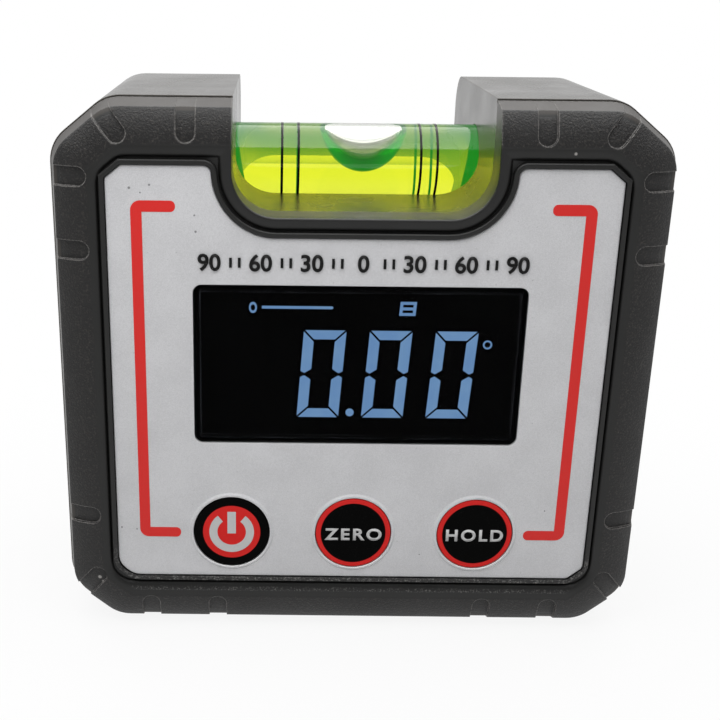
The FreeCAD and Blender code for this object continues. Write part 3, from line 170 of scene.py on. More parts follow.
def bezelInset(tree, place):  # distance in from the clipped outline, and the places along Y and Z
    x, y, z = addNode(tree, "ShaderNodeSeparateXYZ", None, {0: place}).outputs
    across = addNode(tree, "ShaderNodeMath", {"operation": "ABSOLUTE"}, {0: x})
    fromSide = addNode(tree, "ShaderNodeMath", {"operation": "SUBTRACT", 0: caseHalf * mm}, {1: across})
    fromTop = addNode(tree, "ShaderNodeMath", {"operation": "SUBTRACT", 0: caseTop * mm}, {1: z})
    fromEnd = addNode(tree, "ShaderNodeMath", {"operation": "MINIMUM"}, {0: z, 1: fromTop})
    cutX, cutZ = frontAbs["cut"]
    run = math.hypot(cutX, cutZ)
    sideShare = addNode(tree, "ShaderNodeMath", {"operation": "MULTIPLY", 1: cutZ / run}, {0: fromSide})
    bothShares = addNode(tree, "ShaderNodeMath", {"operation": "MULTIPLY_ADD", 1: cutX / run},
                         {0: fromEnd, 2: sideShare})
    fromCut = addNode(tree, "ShaderNodeMath", {"operation": "SUBTRACT", 1: cutX * cutZ / run * mm},
                      {0: bothShares})
    nearest = addNode(tree, "ShaderNodeMath", {"operation": "MINIMUM"}, {0: fromSide, 1: fromEnd})
    inset = addNode(tree, "ShaderNodeMath", {"operation": "MINIMUM"}, {0: nearest, 1: fromCut})
    return inset, y, z


def sparkErodedAbs():
    # ABS from a spark-eroded mould: near black, with a coarse sparkling grain on the bezel, a plain satin strip
    # at the parting line that is painted lighter as a sheen, a smooth channel, and pale rims round the grip
    # slots, partly wear and partly painted highlight
    spec = frontAbs
    material, tree, shader, place = startMaterial("spark-eroded ABS", spec["colour"],
                                                  {"Roughness": 0.42, "IOR": 1.53,
                                                   "Specular IOR Level": 0.36})
    inset, y, z = bezelInset(tree, place)
    pits = addNode(tree, "ShaderNodeTexNoise",
                   {"Scale": perMetre(spec["grain"]), "Detail": 3.0, "Roughness": 0.62},
                   {"Vector": place})
    fine = addNode(tree, "ShaderNodeTexNoise", {"Scale": perMetre(spec["fineGrain"]), "Detail": 2.0},
                   {"Vector": place})
    cloud = addNode(tree, "ShaderNodeTexNoise", {"Scale": perMetre(spec["cloud"]), "Detail": 3.0},
                    {"Vector": place})
    # the grain starts at a ragged line in front of the strip and ends at the crest
    ragged = addNode(tree, "ShaderNodeMath", {"operation": "MULTIPLY_ADD", 1: spec["ragged"] * mm},
                     {0: pits, 2: y})
    front = (seamY - spec["stripEnd"] + 0.17) * mm
    ahead = addNode(tree, "ShaderNodeMapRange",
                    {**softStep, 1: front, 2: front - 0.08 * mm}, {0: ragged})
    outside = addNode(tree, "ShaderNodeMapRange",
                      {**softStep, 1: (spec["bezelWidth"] + 0.1) * mm,
                       2: (spec["bezelWidth"] - 0.25) * mm}, {0: inset})
    onBezel = addNode(tree, "ShaderNodeMath", {"operation": "MULTIPLY"}, {0: ahead, 1: outside})
    proud = addNode(tree, "ShaderNodeMapRange",
                    {**softStep, 1: (lipFace + 0.25) * mm, 2: (lipFace + 0.1) * mm}, {0: y})
    inLip = addNode(tree, "ShaderNodeMapRange",
                    {**softStep, 1: spec["lipStart"] * mm, 2: (spec["lipStart"] + 0.15) * mm},
                    {0: inset})
    lowDown = addNode(tree, "ShaderNodeMapRange",
                      {**softStep, 1: spec["lowLip"][0] * mm, 2: spec["lowLip"][1] * mm}, {0: z})
    onLip = addNode(tree, "ShaderNodeMath", {"operation": "MULTIPLY"}, {0: proud, 1: inLip})
    onLowLip = addNode(tree, "ShaderNodeMath", {"operation": "MULTIPLY"}, {0: onLip, 1: lowDown})
    grainy = addNode(tree, "ShaderNodeMath", {"operation": "MAXIMUM"}, {0: onBezel, 1: onLowLip})
    rounded = addNode(tree, "ShaderNodeBevel", {"samples": 6, "Radius": spec["rounding"] * mm})
    height = addNode(tree, "ShaderNodeMath", {"operation": "MULTIPLY"}, {0: pits, 1: grainy})
    both = addNode(tree, "ShaderNodeMath", {"operation": "MULTIPLY_ADD", 1: 0.08}, {0: fine, 2: height})
    bump = addNode(tree, "ShaderNodeBump", {"Strength": 1.0, "Distance": spec["grainDepth"] * mm},
                   {"Height": both, "Normal": rounded})
    # colours: satin strip painted lighter as a sheen, dark channel, grain that is paler on its peaks
    peaks = addNode(tree, "ShaderNodeMapRange", {**softStep, 1: 0.5, 2: 0.72}, {0: pits})
    grainTone = addNode(tree, "ShaderNodeMix", {"data_type": "RGBA", 6: linear(spec["colour"]),
                                                7: linear(spec["spark"])}, {0: peaks})
    behind = addNode(tree, "ShaderNodeMapRange",
                     {**softStep, 1: front - 0.1 * mm, 2: front}, {0: y})
    # painted sheen: the strip takes a lighter tone than the channel of the same plastic
    plainTone = addNode(tree, "ShaderNodeMix", {"data_type": "RGBA", 6: linear(spec["smooth"]),
                                                7: linear(spec["strip"])}, {0: behind})
    tone = addNode(tree, "ShaderNodeMix", {"data_type": "RGBA"}, {0: grainy, 6: plainTone, 7: grainTone})
    # the grain peaks on the lip are paler low down on the face
    paleLipPeaks = addNode(tree, "ShaderNodeMath", {"operation": "MULTIPLY"}, {0: onLowLip, 1: peaks})
    tone = addNode(tree, "ShaderNodeMix", {"data_type": "RGBA", 7: linear(spec["lowLipPale"])},
                   {0: paleLipPeaks, 6: tone})
    # painted highlight and wear: pale rims along the edges of the bezel, broken up by the grain
    litEdges = edgeMask(tree, rounded, 0.97, 0.8)
    grainBreak = addNode(tree, "ShaderNodeMapRange", {**softStep, 1: 0.3, 2: 0.62, 3: 0.1, 4: 0.9},
                     {0: pits})
    wornLitMask = addNode(tree, "ShaderNodeMath", {"operation": "MULTIPLY"}, {0: litEdges, 1: grainBreak})
    wornLitOnBezel = addNode(tree, "ShaderNodeMath", {"operation": "MULTIPLY"}, {0: wornLitMask, 1: outside})
    scars = nearSpots(tree, place, spec["scars"])
    wornLitAll = addNode(tree, "ShaderNodeMath", {"operation": "MAXIMUM"}, {0: wornLitOnBezel, 1: scars})
    tone = addNode(tree, "ShaderNodeMix", {"data_type": "RGBA", 7: linear(spec["wornLitRim"])},
                   {0: wornLitAll, 6: tone})
    specks = nearSpots(tree, place, spec["specks"])
    tone = addNode(tree, "ShaderNodeMix", {"data_type": "RGBA", 7: linear(spec["pink"])},
                   {0: specks, 6: tone})
    gloss = addNode(tree, "ShaderNodeMapRange", {1: 0.3, 2: 0.7, 3: spec["gloss"][0], 4: spec["gloss"][1]},
                    {0: cloud})
    finishWith(tree, shader, {"Base Color": tone, "Roughness": gloss, "Normal": bump})
    return material


rearAbs = {"colour": "221f1a", "dust": "645d50", "rough": (0.2, 0.3), "etch": 0.1, "etchDepth": 0.008,
           "doorColour": "1c1b1a", "doorRough": (0.3, 0.4), "cloud": 7.0, "lint": 0.3, "rounding": 0.2,
           "nick": "050505", "rimDustAndSheen": 0.35,
           "nicks": [((12.8, -1.3, 53.0), 0.3), ((12.8, -3.0, 53.7), 0.22), ((12.8, -10.9, 53.9), 0.3)]}


def satinAbs(name, colour, rough):
    # ABS with a fine etched satin: dark straight on, pale and streaky where it is seen edge on, with
    # lint caught in the etch; the etch is drawn at 0.1 mm, coarser than it is, so that it shows
    spec = rearAbs
    material, tree, shader, place = startMaterial(name, colour, {"Roughness": 0.3, "IOR": 1.53})
    fine = addNode(tree, "ShaderNodeTexNoise",
                   {"Scale": perMetre(spec["etch"]), "Detail": 3.0, "Roughness": 0.6},
                   {"Vector": place})
    cloud = addNode(tree, "ShaderNodeTexNoise", {"Scale": perMetre(spec["cloud"]), "Detail": 4.0},
                    {"Vector": place})
    lint = addNode(tree, "ShaderNodeTexNoise", {"Scale": perMetre(spec["lint"]), "Detail": 1.0},
                   {"Vector": place})
    rounded = addNode(tree, "ShaderNodeBevel", {"samples": 6, "Radius": spec["rounding"] * mm})
    bump = addNode(tree, "ShaderNodeBump", {"Strength": 1.0, "Distance": spec["etchDepth"] * mm},
                   {"Height": fine, "Normal": rounded})
    dusty = addNode(tree, "ShaderNodeMapRange", {**softStep, 1: 0.72, 2: 0.8, 4: 0.5}, {0: lint})
    tone = addNode(tree, "ShaderNodeMix", {"data_type": "RGBA", 6: linear(colour), 7: linear(spec["dust"])},
                   {0: dusty})
    # edges lightened with the dust colour: partly dust, partly painted highlight
    litEdges = edgeMask(tree, rounded, 0.99, 0.8)
    faint = addNode(tree, "ShaderNodeMath", {"operation": "MULTIPLY", 1: spec["rimDustAndSheen"]}, {0: litEdges})
    tone = addNode(tree, "ShaderNodeMix", {"data_type": "RGBA", 7: linear(spec["dust"])}, {0: faint, 6: tone})
    nicks = nearSpots(tree, place, spec["nicks"])
    tone = addNode(tree, "ShaderNodeMix", {"data_type": "RGBA", 7: linear(spec["nick"])}, {0: nicks, 6: tone})
    gloss = addNode(tree, "ShaderNodeMapRange", {1: 0.3, 2: 0.7, 3: rough[0], 4: rough[1]}, {0: cloud})
    finishWith(tree, shader, {"Base Color": tone, "Roughness": gloss, "Normal": bump})
    return material


dress("front_housing", sparkErodedAbs())
dress("rear_housing", satinAbs("etched satin ABS", rearAbs["colour"], rearAbs["rough"]))
dress("battery_door", satinAbs("etched satin ABS door", rearAbs["doorColour"], rearAbs["doorRough"]))
print("case finished")


# Faceplate: silver-backed polycarbonate film with printed marks

filmSpec = {"colour": "b6b6b8", "flakeDark": "aeaeb0", "flakeLight": "bebec0", "speck": "6d6d6f",
            "edgeHighlight": "fbfbfb",
            "flake": 0.08, "speckSize": 0.24, "cloud": 5.0, "edge": 0.13, "flakeDepth": 0.004,
            "gloss": (0.38, 0.48),
            "paleBelow": (10.5, 8.5), "paleAbove": 0.12,
            "marks": [((-16.4, -15.65, 45.8), 0.1), ((-16.3, -15.65, 44.2), 0.13),
                      ((-16.35, -15.65, 28.4), 0.08),
                      ((20.3, -15.65, 14.7), 0.09), ((7.3, -15.65, 9.4), 0.08),
                      ((-24.55, -15.65, 12.3), 0.12),
                      ((-22.95, -15.65, 12.1), 0.1), ((-22.65, -15.65, 48.4), 0.14),
                      ((-21.6, -15.65, 47.95), 0.09),
                      ((-20.7, -15.65, 48.7), 0.12)]}


def silverFilm():
    # reverse-printed silver polycarbonate: a soft metallic grey with fine flecks and a few dark marks,
    # and a painted highlight along its edge near the bottom
    spec = filmSpec
    material, tree, shader, place = startMaterial("silver-backed polycarbonate film", spec["colour"],
                                                  {"Roughness": 0.42, "IOR": 1.58})
    flakes = addNode(tree, "ShaderNodeTexNoise",
                     {"Scale": perMetre(spec["flake"]), "Detail": 2.0, "Roughness": 0.6},
                     {"Vector": place})
    cloud = addNode(tree, "ShaderNodeTexNoise",
                    {"Scale": perMetre(spec["cloud"]), "Detail": 4.0, "Roughness": 0.6},
                    {"Vector": place})
    spots = addNode(tree, "ShaderNodeTexNoise", {"Scale": perMetre(spec["speckSize"]), "Detail": 1.0},
                    {"Vector": place})
    mixed = addNode(tree, "ShaderNodeMath", {"operation": "MULTIPLY_ADD", 1: 0.5}, {0: cloud, 2: flakes})
    toned = addNode(tree, "ShaderNodeMapRange", {**softStep, 1: 0.55, 2: 0.95}, {0: mixed})
    tone = addNode(tree, "ShaderNodeMix", {"data_type": "RGBA", 6: linear(spec["flakeDark"]),
                                           7: linear(spec["flakeLight"])}, {0: toned})
    few = addNode(tree, "ShaderNodeMapRange", {**softStep, 1: 0.76, 2: 0.82, 4: 0.5}, {0: spots})
    marks = nearSpots(tree, place, spec["marks"])
    dark = addNode(tree, "ShaderNodeMath", {"operation": "MAXIMUM"}, {0: few, 1: marks})
    tone = addNode(tree, "ShaderNodeMix", {"data_type": "RGBA", 7: linear(spec["speck"])}, {0: dark, 6: tone})
    rounded = addNode(tree, "ShaderNodeBevel", {"samples": 6, "Radius": spec["edge"] * mm})
    edge = edgeMask(tree, rounded, 0.995, 0.93)
    z = addNode(tree, "ShaderNodeSeparateXYZ", None, {0: place}).outputs["Z"]
    lowDown = addNode(tree, "ShaderNodeMapRange",
                      {**softStep, 1: spec["paleBelow"][0] * mm, 2: spec["paleBelow"][1] * mm,
                                                   3: spec["paleAbove"]}, {0: z})
    # painted highlight: the film's edge turns near white near the bottom, faintly higher up
    pale = addNode(tree, "ShaderNodeMath", {"operation": "MULTIPLY"}, {0: edge, 1: lowDown})
    tone = addNode(tree, "ShaderNodeMix", {"data_type": "RGBA", 7: linear(spec["edgeHighlight"])},
                   {0: pale, 6: tone})
    bump = addNode(tree, "ShaderNodeBump", {"Strength": 1.0, "Distance": spec["flakeDepth"] * mm},
                   {"Height": flakes, "Normal": rounded})
    gloss = addNode(tree, "ShaderNodeMapRange", {1: 0.3, 2: 0.7, 3: spec["gloss"][0], 4: spec["gloss"][1]},
                    {0: cloud})
    finishWith(tree, shader, {"Base Color": tone, "Roughness": gloss, "Normal": bump})
    return material


def screenInk(name, colour, rough, thinTone):
    # screen-printed ink: an even colour with faint thin spots where the ground shows
    material, tree, shader, place = startMaterial(name, colour, {"Roughness": rough, "IOR": 1.5,
                                                                 "Specular IOR Level": 0.2})
    grain = addNode(tree, "ShaderNodeTexNoise", {"Scale": perMetre(0.12), "Detail": 2.0}, {"Vector": place})
    thin = addNode(tree, "ShaderNodeMapRange", {**softStep, 1: 0.45, 2: 0.8, 4: 0.35}, {0: grain})
    tone = addNode(tree, "ShaderNodeMix", {"data_type": "RGBA", 6: linear(colour), 7: linear(thinTone)},
                   {0: thin})
    finishWith(tree, shader, {"Base Color": tone})
    return material


blackInk = screenInk("black screen ink", "060606", 0.5, "1c1c1c")
dress("faceplate_film", silverFilm())
dress("panel_brackets", screenInk("red screen ink", "c52724", 0.45, "b43f3b"))


def addPiece(name, mesh, material, body):
    piece = bpy.data.objects.new(name, mesh)
    scene.collection.objects.link(piece)
    mesh.materials.clear()
    mesh.materials.append(material)
    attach(piece, body)
    return piece


def meshFrom(name, form):  # closes a bmesh into a mesh with outward normals
    bmesh.ops.recalc_face_normals(form, faces=form.faces)
    mesh = bpy.data.meshes.new(name)
    form.to_mesh(mesh)
    form.free()
    return mesh


def plate(form, outline, near, thick):  # a flat outline in X and Z, thickened from near towards the back
    front = [form.verts.new((x * mm, near * mm, z * mm)) for x, z in outline]
    rear = [form.verts.new((x * mm, (near + thick) * mm, z * mm)) for x, z in outline]
    form.faces.new(front)
    form.faces.new(list(reversed(rear)))
    count = len(outline)
    for index in range(count):
        after = (index + 1) % count
        form.faces.new((front[after], front[index], rear[index], rear[after]))


def ringPlate(form, centre, outer, inner, near, thick, start=0.0, end=360.0):
    closed = end - start >= 360
    steps = 72
    count = steps if closed else steps + 1
    rows = []
    for index in range(count):
        angle = math.radians(start + (end - start) * index / steps)
        row = []
        for radius, level in ((outer, near), (inner, near), (inner, near + thick), (outer, near + thick)):
            spot = (centre[0] + radius * math.sin(angle), level, centre[1] + radius * math.cos(angle))
            row.append(form.verts.new([value * mm for value in spot]))
        rows.append(row)
    for index in range(steps):
        first, second = rows[index], rows[(index + 1) % count]
        for corner in range(4):
            after = (corner + 1) % 4
            form.faces.new((first[corner], first[after], second[after], second[corner]))
    if not closed:
        form.faces.new(rows[0])
        form.faces.new(list(reversed(rows[-1])))


def words(name, text, centre, size, near, thick, bold,
          spread=1.0):  # block characters fitted to a width and height
    curve = bpy.data.curves.new(name, "FONT")
    curve.body = text
    curve.offset = bold
    curve.space_character = spread
    curve.resolution_u = 6
    carrier = bpy.data.objects.new(name, curve)
    scene.collection.objects.link(carrier)
    bpy.context.view_layer.update()
    flat = bpy.data.meshes.new_from_object(carrier.evaluated_get(bpy.context.evaluated_depsgraph_get()))
    bpy.data.objects.remove(carrier)
    bpy.data.curves.remove(curve)
    xs = [vertex.co.x for vertex in flat.vertices]
    ys = [vertex.co.y for vertex in flat.vertices]
    scaleX = size[0] / (max(xs) - min(xs)) if size[0] else size[1] / (max(ys) - min(ys))
    scaleZ = size[1] / (max(ys) - min(ys))
    midX, midY = (max(xs) + min(xs)) / 2, (max(ys) + min(ys)) / 2
    form = bmesh.new()
    form.from_mesh(flat)
    bpy.data.meshes.remove(flat)
    for vertex in form.verts:
        x, y = vertex.co.x, vertex.co.y
        vertex.co = Vector(((centre[0] + (x - midX) * scaleX) * mm, near * mm,
                            (centre[1] + (y - midY) * scaleZ) * mm))
    bmesh.ops.remove_doubles(form, verts=form.verts, dist=1e-7)
    grown = bmesh.ops.extrude_face_region(form, geom=list(form.faces))
    moved = [item for item in grown["geom"] if isinstance(item, bmesh.types.BMVert)]
    bmesh.ops.translate(form, vec=(0, thick * mm, 0), verts=moved)
    return meshFrom(name, form)


# A printed angle scale takes the line over the display: plain numbers with ticks between them
scaleMarks = {"numbers": ("90", "60", "30", "0", "30", "60", "90"), "pitch": 5.05, "centreX": 0.15,
              "centreZ": 41.2, "tall": 1.75, "tickTall": 1.0, "tickWide": 0.28, "tickGap": 0.17, "ticks": 2,
              "ink": 0.02, "bold": 0.025}


def angleScale():
    spec = scaleMarks
    count = len(spec["numbers"])
    for index, text in enumerate(spec["numbers"]):
        x = spec["centreX"] + (index - (count - 1) / 2) * spec["pitch"]
        name = "scale_number_%d" % (index + 1)
        label = words(name, text, (x, spec["centreZ"]), (None, spec["tall"]), filmFace - spec["ink"],
                      spec["ink"], spec["bold"])
        addPiece(name, label, blackInk, "case")
    form = bmesh.new()
    for index in range(count - 1):
        for tick in range(spec["ticks"]):
            share = 0.5 + (tick - (spec["ticks"] - 1) / 2) * spec["tickGap"]
            x = spec["centreX"] + (index + share - (count - 1) / 2) * spec["pitch"]
            left, right = x - spec["tickWide"] / 2, x + spec["tickWide"] / 2
            bottom, top = spec["centreZ"] - spec["tickTall"] / 2, spec["centreZ"] + spec["tickTall"] / 2
            plate(form, [(left, bottom), (right, bottom), (right, top), (left, top)],
                  filmFace - spec["ink"], spec["ink"])
    addPiece("scale_ticks", meshFrom("scale_ticks", form), blackInk, "case")


angleScale()
print("faceplate finished")


# Display

displaySpec = {"lit": ("84b3ec", "8fbdf0"), "glow": 1.05, "tint": 0.3, "outlineIn": 0.62, "outlineWide": 0.1,
               "outline": "33353a"}


def smokedAcrylic():
    # cast acrylic with a non-reflecting coat: nearly invisible over the black glass, with a fine patchy grey
    # line drawn just inside its edge
    spec = displaySpec
    material, tree, shader, place = startMaterial(
        "smoked acrylic window", "040404", {"Roughness": 0.15, "IOR": 1.49, "Specular IOR Level": 0.03,
                                            "Alpha": spec["tint"]})
    x, y, z = addNode(tree, "ShaderNodeSeparateXYZ", None, {0: place}).outputs
    edges = []
    for source, axis in ((x, "x"), (z, "z")):
        centred = addNode(tree, "ShaderNodeMath",
                          {"operation": "SUBTRACT", 1: middle("display_window", axis) * mm},
                          {0: source})
        away = addNode(tree, "ShaderNodeMath", {"operation": "ABSOLUTE"}, {0: centred})
        half = (high("display_window", axis) - low("display_window", axis)) / 2
        edges.append(addNode(tree, "ShaderNodeMath", {"operation": "SUBTRACT", 0: half * mm}, {1: away}))
    inset = addNode(tree, "ShaderNodeMath", {"operation": "MINIMUM"}, {0: edges[0], 1: edges[1]})
    offLine = addNode(tree, "ShaderNodeMath", {"operation": "SUBTRACT", 1: spec["outlineIn"] * mm},
                      {0: inset})
    reach = addNode(tree, "ShaderNodeMath", {"operation": "ABSOLUTE"}, {0: offLine})
    line = addNode(tree, "ShaderNodeMapRange", {**softStep, 1: spec["outlineWide"] * mm,
                                                2: 0.3 * spec["outlineWide"] * mm}, {0: reach})
    smears = addNode(tree, "ShaderNodeTexNoise", {"Scale": perMetre(4.0), "Detail": 4.0}, {"Vector": place})
    patchy = addNode(tree, "ShaderNodeMapRange", {1: 0.35, 2: 0.7, 3: 0.1, 4: 0.7}, {0: smears})
    drawn = addNode(tree, "ShaderNodeMath", {"operation": "MULTIPLY"}, {0: line, 1: patchy})
    tone = addNode(tree, "ShaderNodeMix", {"data_type": "RGBA", 6: linear("040404"),
                                           7: linear(spec["outline"])},
                   {0: drawn})
    cover = addNode(tree, "ShaderNodeMapRange", {3: spec["tint"], 4: 0.9}, {0: drawn})
    gloss = addNode(tree, "ShaderNodeMapRange", {1: 0.4, 2: 0.8, 3: 0.1, 4: 0.2}, {0: smears})
    finishWith(tree, shader, {"Base Color": tone, "Alpha": cover, "Roughness": gloss})
    return material


def displayGlass():
    # display glass with its black mask: even and matt behind the window
    material, tree, shader, place = startMaterial(
        "black masked glass", "020202", {"Roughness": 0.5, "IOR": 1.5, "Specular IOR Level": 0.03})
    cloud = addNode(tree, "ShaderNodeTexNoise", {"Scale": perMetre(5.0), "Detail": 2.0}, {"Vector": place})
    tone = addNode(tree, "ShaderNodeMix", {"data_type": "RGBA", 6: linear("020202"), 7: linear("050506")},
                   {0: cloud})
    finishWith(tree, shader, {"Base Color": tone})
    return material


def litSegment():
    # backlit liquid crystal: a flat pale blue glow, a touch uneven in its tone
    spec = displaySpec
    material, tree, shader, place = startMaterial(
        "backlit segment", "101820", {"Roughness": 0.6, "Specular IOR Level": 0.05,
                                      "Emission Strength": spec["glow"]})
    cloud = addNode(tree, "ShaderNodeTexNoise", {"Scale": perMetre(2.5), "Detail": 2.0}, {"Vector": place})
    even = addNode(tree, "ShaderNodeMapRange", {**softStep, 1: 0.3, 2: 0.8}, {0: cloud})
    tone = addNode(tree, "ShaderNodeMix", {"data_type": "RGBA", 6: linear(spec["lit"][0]),
                                           7: linear(spec["lit"][1])},
                   {0: even})
    finishWith(tree, shader, {"Emission Color": tone})
    return material


dress("display_window", smokedAcrylic())
dress("lcd_glass", displayGlass())
segmentGlow = litSegment()
dress("lcd_segments", segmentGlow)

iconSpec = {"slopeBar": (-9.8, -2.63, 36.45, 0.28), "tip": 0.1, "zeroMark": (-10.7, 36.41),
            "zeroRing": (0.5, 0.28),
            "zeroStretch": (0.8, 1.15), "box": (3.98, 5.62, 35.7, 37.14), "boxLean": 0.1, "boxFrame": 0.3,
            "degree": (13.08, 32.74), "degreeRing": (0.47, 0.3)}


def displayIcons():
    spec = iconSpec
    near = low("lcd_segments", "y")
    thick = high("lcd_segments", "y") - near
    form = bmesh.new()
    left, right, level, tall = spec["slopeBar"]
    plate(form, [(left, level - tall / 2), (right - spec["tip"], level - tall / 2), (right, level),
                 (right - spec["tip"], level + tall / 2), (left, level + tall / 2)], near, thick)
    x, z = spec["zeroMark"]
    wide, tall = spec["zeroStretch"]
    before = len(form.verts)
    ringPlate(form, (x, z), spec["zeroRing"][0], spec["zeroRing"][1], near, thick)
    form.verts.ensure_lookup_table()
    for vertex in form.verts[before:]:
        vertex.co.x = (x + (vertex.co.x / mm - x) * wide) * mm
        vertex.co.z = (z + (vertex.co.z / mm - z) * tall) * mm
    ringPlate(form, spec["degree"], spec["degreeRing"][0], spec["degreeRing"][1], near, thick)
    left, right, bottom, top = spec["box"]
    lean, frameWide = spec["boxLean"], spec["boxFrame"]
    for start, end in ((left, left + frameWide), (right - frameWide, right)):
        plate(form, [(start, bottom), (end, bottom), (end + lean, top), (start + lean, top)], near, thick)
    bar = (top - bottom) / 5
    for row in (0, 2, 4):
        lower = bottom + row * bar
        shift = lean * (lower - bottom) / (top - bottom)
        plate(form, [(left + frameWide + shift, lower), (right - frameWide + shift, lower),
                     (right - frameWide + shift, lower + bar), (left + frameWide + shift, lower + bar)],
              near, thick)
    addPiece("display_icons", meshFrom("display_icons", form), segmentGlow, "case")


displayIcons()
print("display finished")


# Keys: moulded caps with printed rings, read from the middle outwards

keySpec = {"red": "c22826", "black": "020202", "grey": "b2b2b2", "powerDisc": 3.05, "redRing": 3.46,
           "iconOuter": 2.38, "iconInner": 1.52, "iconGap": 38.0, "barWide": 0.9, "barHigh": 2.35,
           "barLow": -0.17, "label": (6.1, 1.4), "labelDrop": 0.15, "labelBold": 0.03, "labelSpread": 1.25,
           "ink": 0.02}


def hardCoatedKey(node, inner, outer, edge):
    # a moulded key printed in two colours under a clear satin hard coat, which keeps the black deep
    name = "hard-coated key " + node.split("_")[0]
    material, tree, shader, place = startMaterial(name, inner, {"Roughness": 0.4, "IOR": 1.5,
                                                                "Specular IOR Level": 0.03})
    flatPlace = addNode(tree, "ShaderNodeVectorMath", {"operation": "MULTIPLY", 1: (1, 0, 1)}, {0: place})
    reach = addNode(tree, "ShaderNodeVectorMath",
                    {"operation": "DISTANCE", 1: (middle(node, "x") * mm, 0, middle(node, "z") * mm)},
                    {0: flatPlace})
    rim = addNode(tree, "ShaderNodeMapRange", {**softStep, 1: (edge - 0.03) * mm,
                                               2: (edge + 0.03) * mm}, {0: reach})
    tone = addNode(tree, "ShaderNodeMix", {"data_type": "RGBA", 6: linear(inner), 7: linear(outer)}, {0: rim})
    grain = addNode(tree, "ShaderNodeTexNoise", {"Scale": perMetre(0.15), "Detail": 2.0}, {"Vector": place})
    thin = addNode(tree, "ShaderNodeMapRange", {**softStep, 1: 0.6, 2: 0.85, 4: 0.05}, {0: grain})
    tone = addNode(tree, "ShaderNodeMix", {"data_type": "RGBA", 7: linear("909090")}, {0: thin, 6: tone})
    rounded = addNode(tree, "ShaderNodeBevel", {"samples": 4, "Radius": 0.12 * mm})
    bump = addNode(tree, "ShaderNodeBump", {"Strength": 1.0, "Distance": 0.004 * mm},
                   {"Height": grain, "Normal": rounded})
    finishWith(tree, shader, {"Base Color": tone, "Normal": bump})
    return material


keyFace = low("power_button", "y")
greyInk = screenInk("grey screen ink", keySpec["grey"], 0.45, "a4a4a4")
dress("power_button", hardCoatedKey("power_button", keySpec["red"], keySpec["black"], keySpec["powerDisc"]))
for node in ("zero_button", "hold_button"):
    dress(node, hardCoatedKey(node, keySpec["black"], keySpec["red"], keySpec["redRing"]))


def powerMark():
    spec = keySpec
    centre = (middle("power_button", "x"), middle("power_button", "z"))
    form = bmesh.new()
    near = keyFace - spec["ink"]
    ringPlate(form, centre, spec["iconOuter"], spec["iconInner"], near, spec["ink"],
              spec["iconGap"], 360 - spec["iconGap"])
    left, right = centre[0] - spec["barWide"] / 2, centre[0] + spec["barWide"] / 2
    plate(form, [(left, centre[1] + spec["barLow"]), (right, centre[1] + spec["barLow"]),
                 (right, centre[1] + spec["barHigh"]), (left, centre[1] + spec["barHigh"])],
          near, spec["ink"])
    addPiece("power_mark", meshFrom("power_mark", form), greyInk, "power_button")


def keyLabel(label):
    spec = keySpec
    node = label + "_button"
    centre = (middle(node, "x"), middle(node, "z") - spec["labelDrop"])
    mesh = words(label + "_label", label.upper(), centre, spec["label"], keyFace - spec["ink"], spec["ink"],
                 spec["labelBold"], spec["labelSpread"])
    addPiece(label + "_label", mesh, greyInk, node)


powerMark()
keyLabel("zero")
keyLabel("hold")
print("keys finished")


# Vial

vialSpec = {"chamfer": 0.35, "rows": 128, "wallIor": 1.49, "airInLiquid": 0.69, "dye": "faf43a",
            "dyeDensity": 650.0, "glow": "30ff76", "paintedGlowStrength": 45.0, "endRound": 0.3, "boreSlack": 0.03,
            "ringSink": 0.015, "ringPlaces": (-8.2, -6.46, 6.46, 8.2), "ringWide": 0.26,
            "bubbleRows": 40, "bubbleSpan": 96, "bubbleBlend": 14, "bubbleHalfY": 2.9, "bubbleGap": 0.06,
            "bubbleHeart": 0.42, "cavityGap": 0.015, "halfGap": 0.001, "flowSlack": (0.35, 0.1),
            "shadowTint": (0.95, 0.97, 0.93, 1), "crease": 35}


def skinRings(name, rings, creased=True):  # joins rings of points into a skin; a ring of one point is a tip
    form = bmesh.new()
    made = [[form.verts.new([value * mm for value in spot]) for spot in ring] for ring in rings]
    count = max(len(ring) for ring in made)
    for first, second in zip(made, made[1:]):
        for index in range(count):
            after = (index + 1) % count
            if len(first) == 1:
                form.faces.new((first[0], second[index], second[after]))
            elif len(second) == 1:
                form.faces.new((first[index], second[0], first[after]))
            else:
                form.faces.new((first[index], second[index], second[after], first[after]))
    mesh = meshFrom(name, form)
    for face in mesh.polygons:
        face.use_smooth = True
    if creased:
        mesh.set_sharp_from_angle(angle=math.radians(vialSpec["crease"]))
    return mesh


def turned(profile, angles):  # rings of (x, radius) points about the vial's axis
    rings = []
    for x, radius in profile:
        steps = angles if radius else angles[:1]
        rings.append([(x, vialY + radius * math.cos(angle),
                       vialZ + radius * math.sin(angle)) for angle in steps])
    return rings


evenTurns = [2 * math.pi * index / vialSpec["rows"] for index in range(vialSpec["rows"])]


def polishedAcrylic():
    # turned and polished acrylic: water clear, with the lamp's hard-edged reflection along its top;
    # shadow rays pass straight through, so the light below takes the liquid's colour
    material, tree, shader, place = startMaterial(
        "polished acrylic", "fdfffb",
        {"Roughness": 0.0, "IOR": vialSpec["wallIor"], "Transmission Weight": 1.0})
    scuffs = addNode(tree, "ShaderNodeTexNoise", {"Scale": perMetre(0.5), "Detail": 4.0}, {"Vector": place})
    dull = addNode(tree, "ShaderNodeMapRange", {**softStep, 1: 0.64, 2: 0.8, 4: 0.1}, {0: scuffs})
    finishWith(tree, shader, {"Roughness": dull})
    passing = addNode(tree, "ShaderNodeBsdfTransparent", {"Color": vialSpec["shadowTint"]})
    path = addNode(tree, "ShaderNodeLightPath")
    mixed = addNode(tree, "ShaderNodeMixShader", None,
                    {0: path.outputs["Is Shadow Ray"], 1: shader, 2: passing})
    tree.links.new(mixed.outputs[0], tree.nodes["Material Output"].inputs["Surface"])
    return material


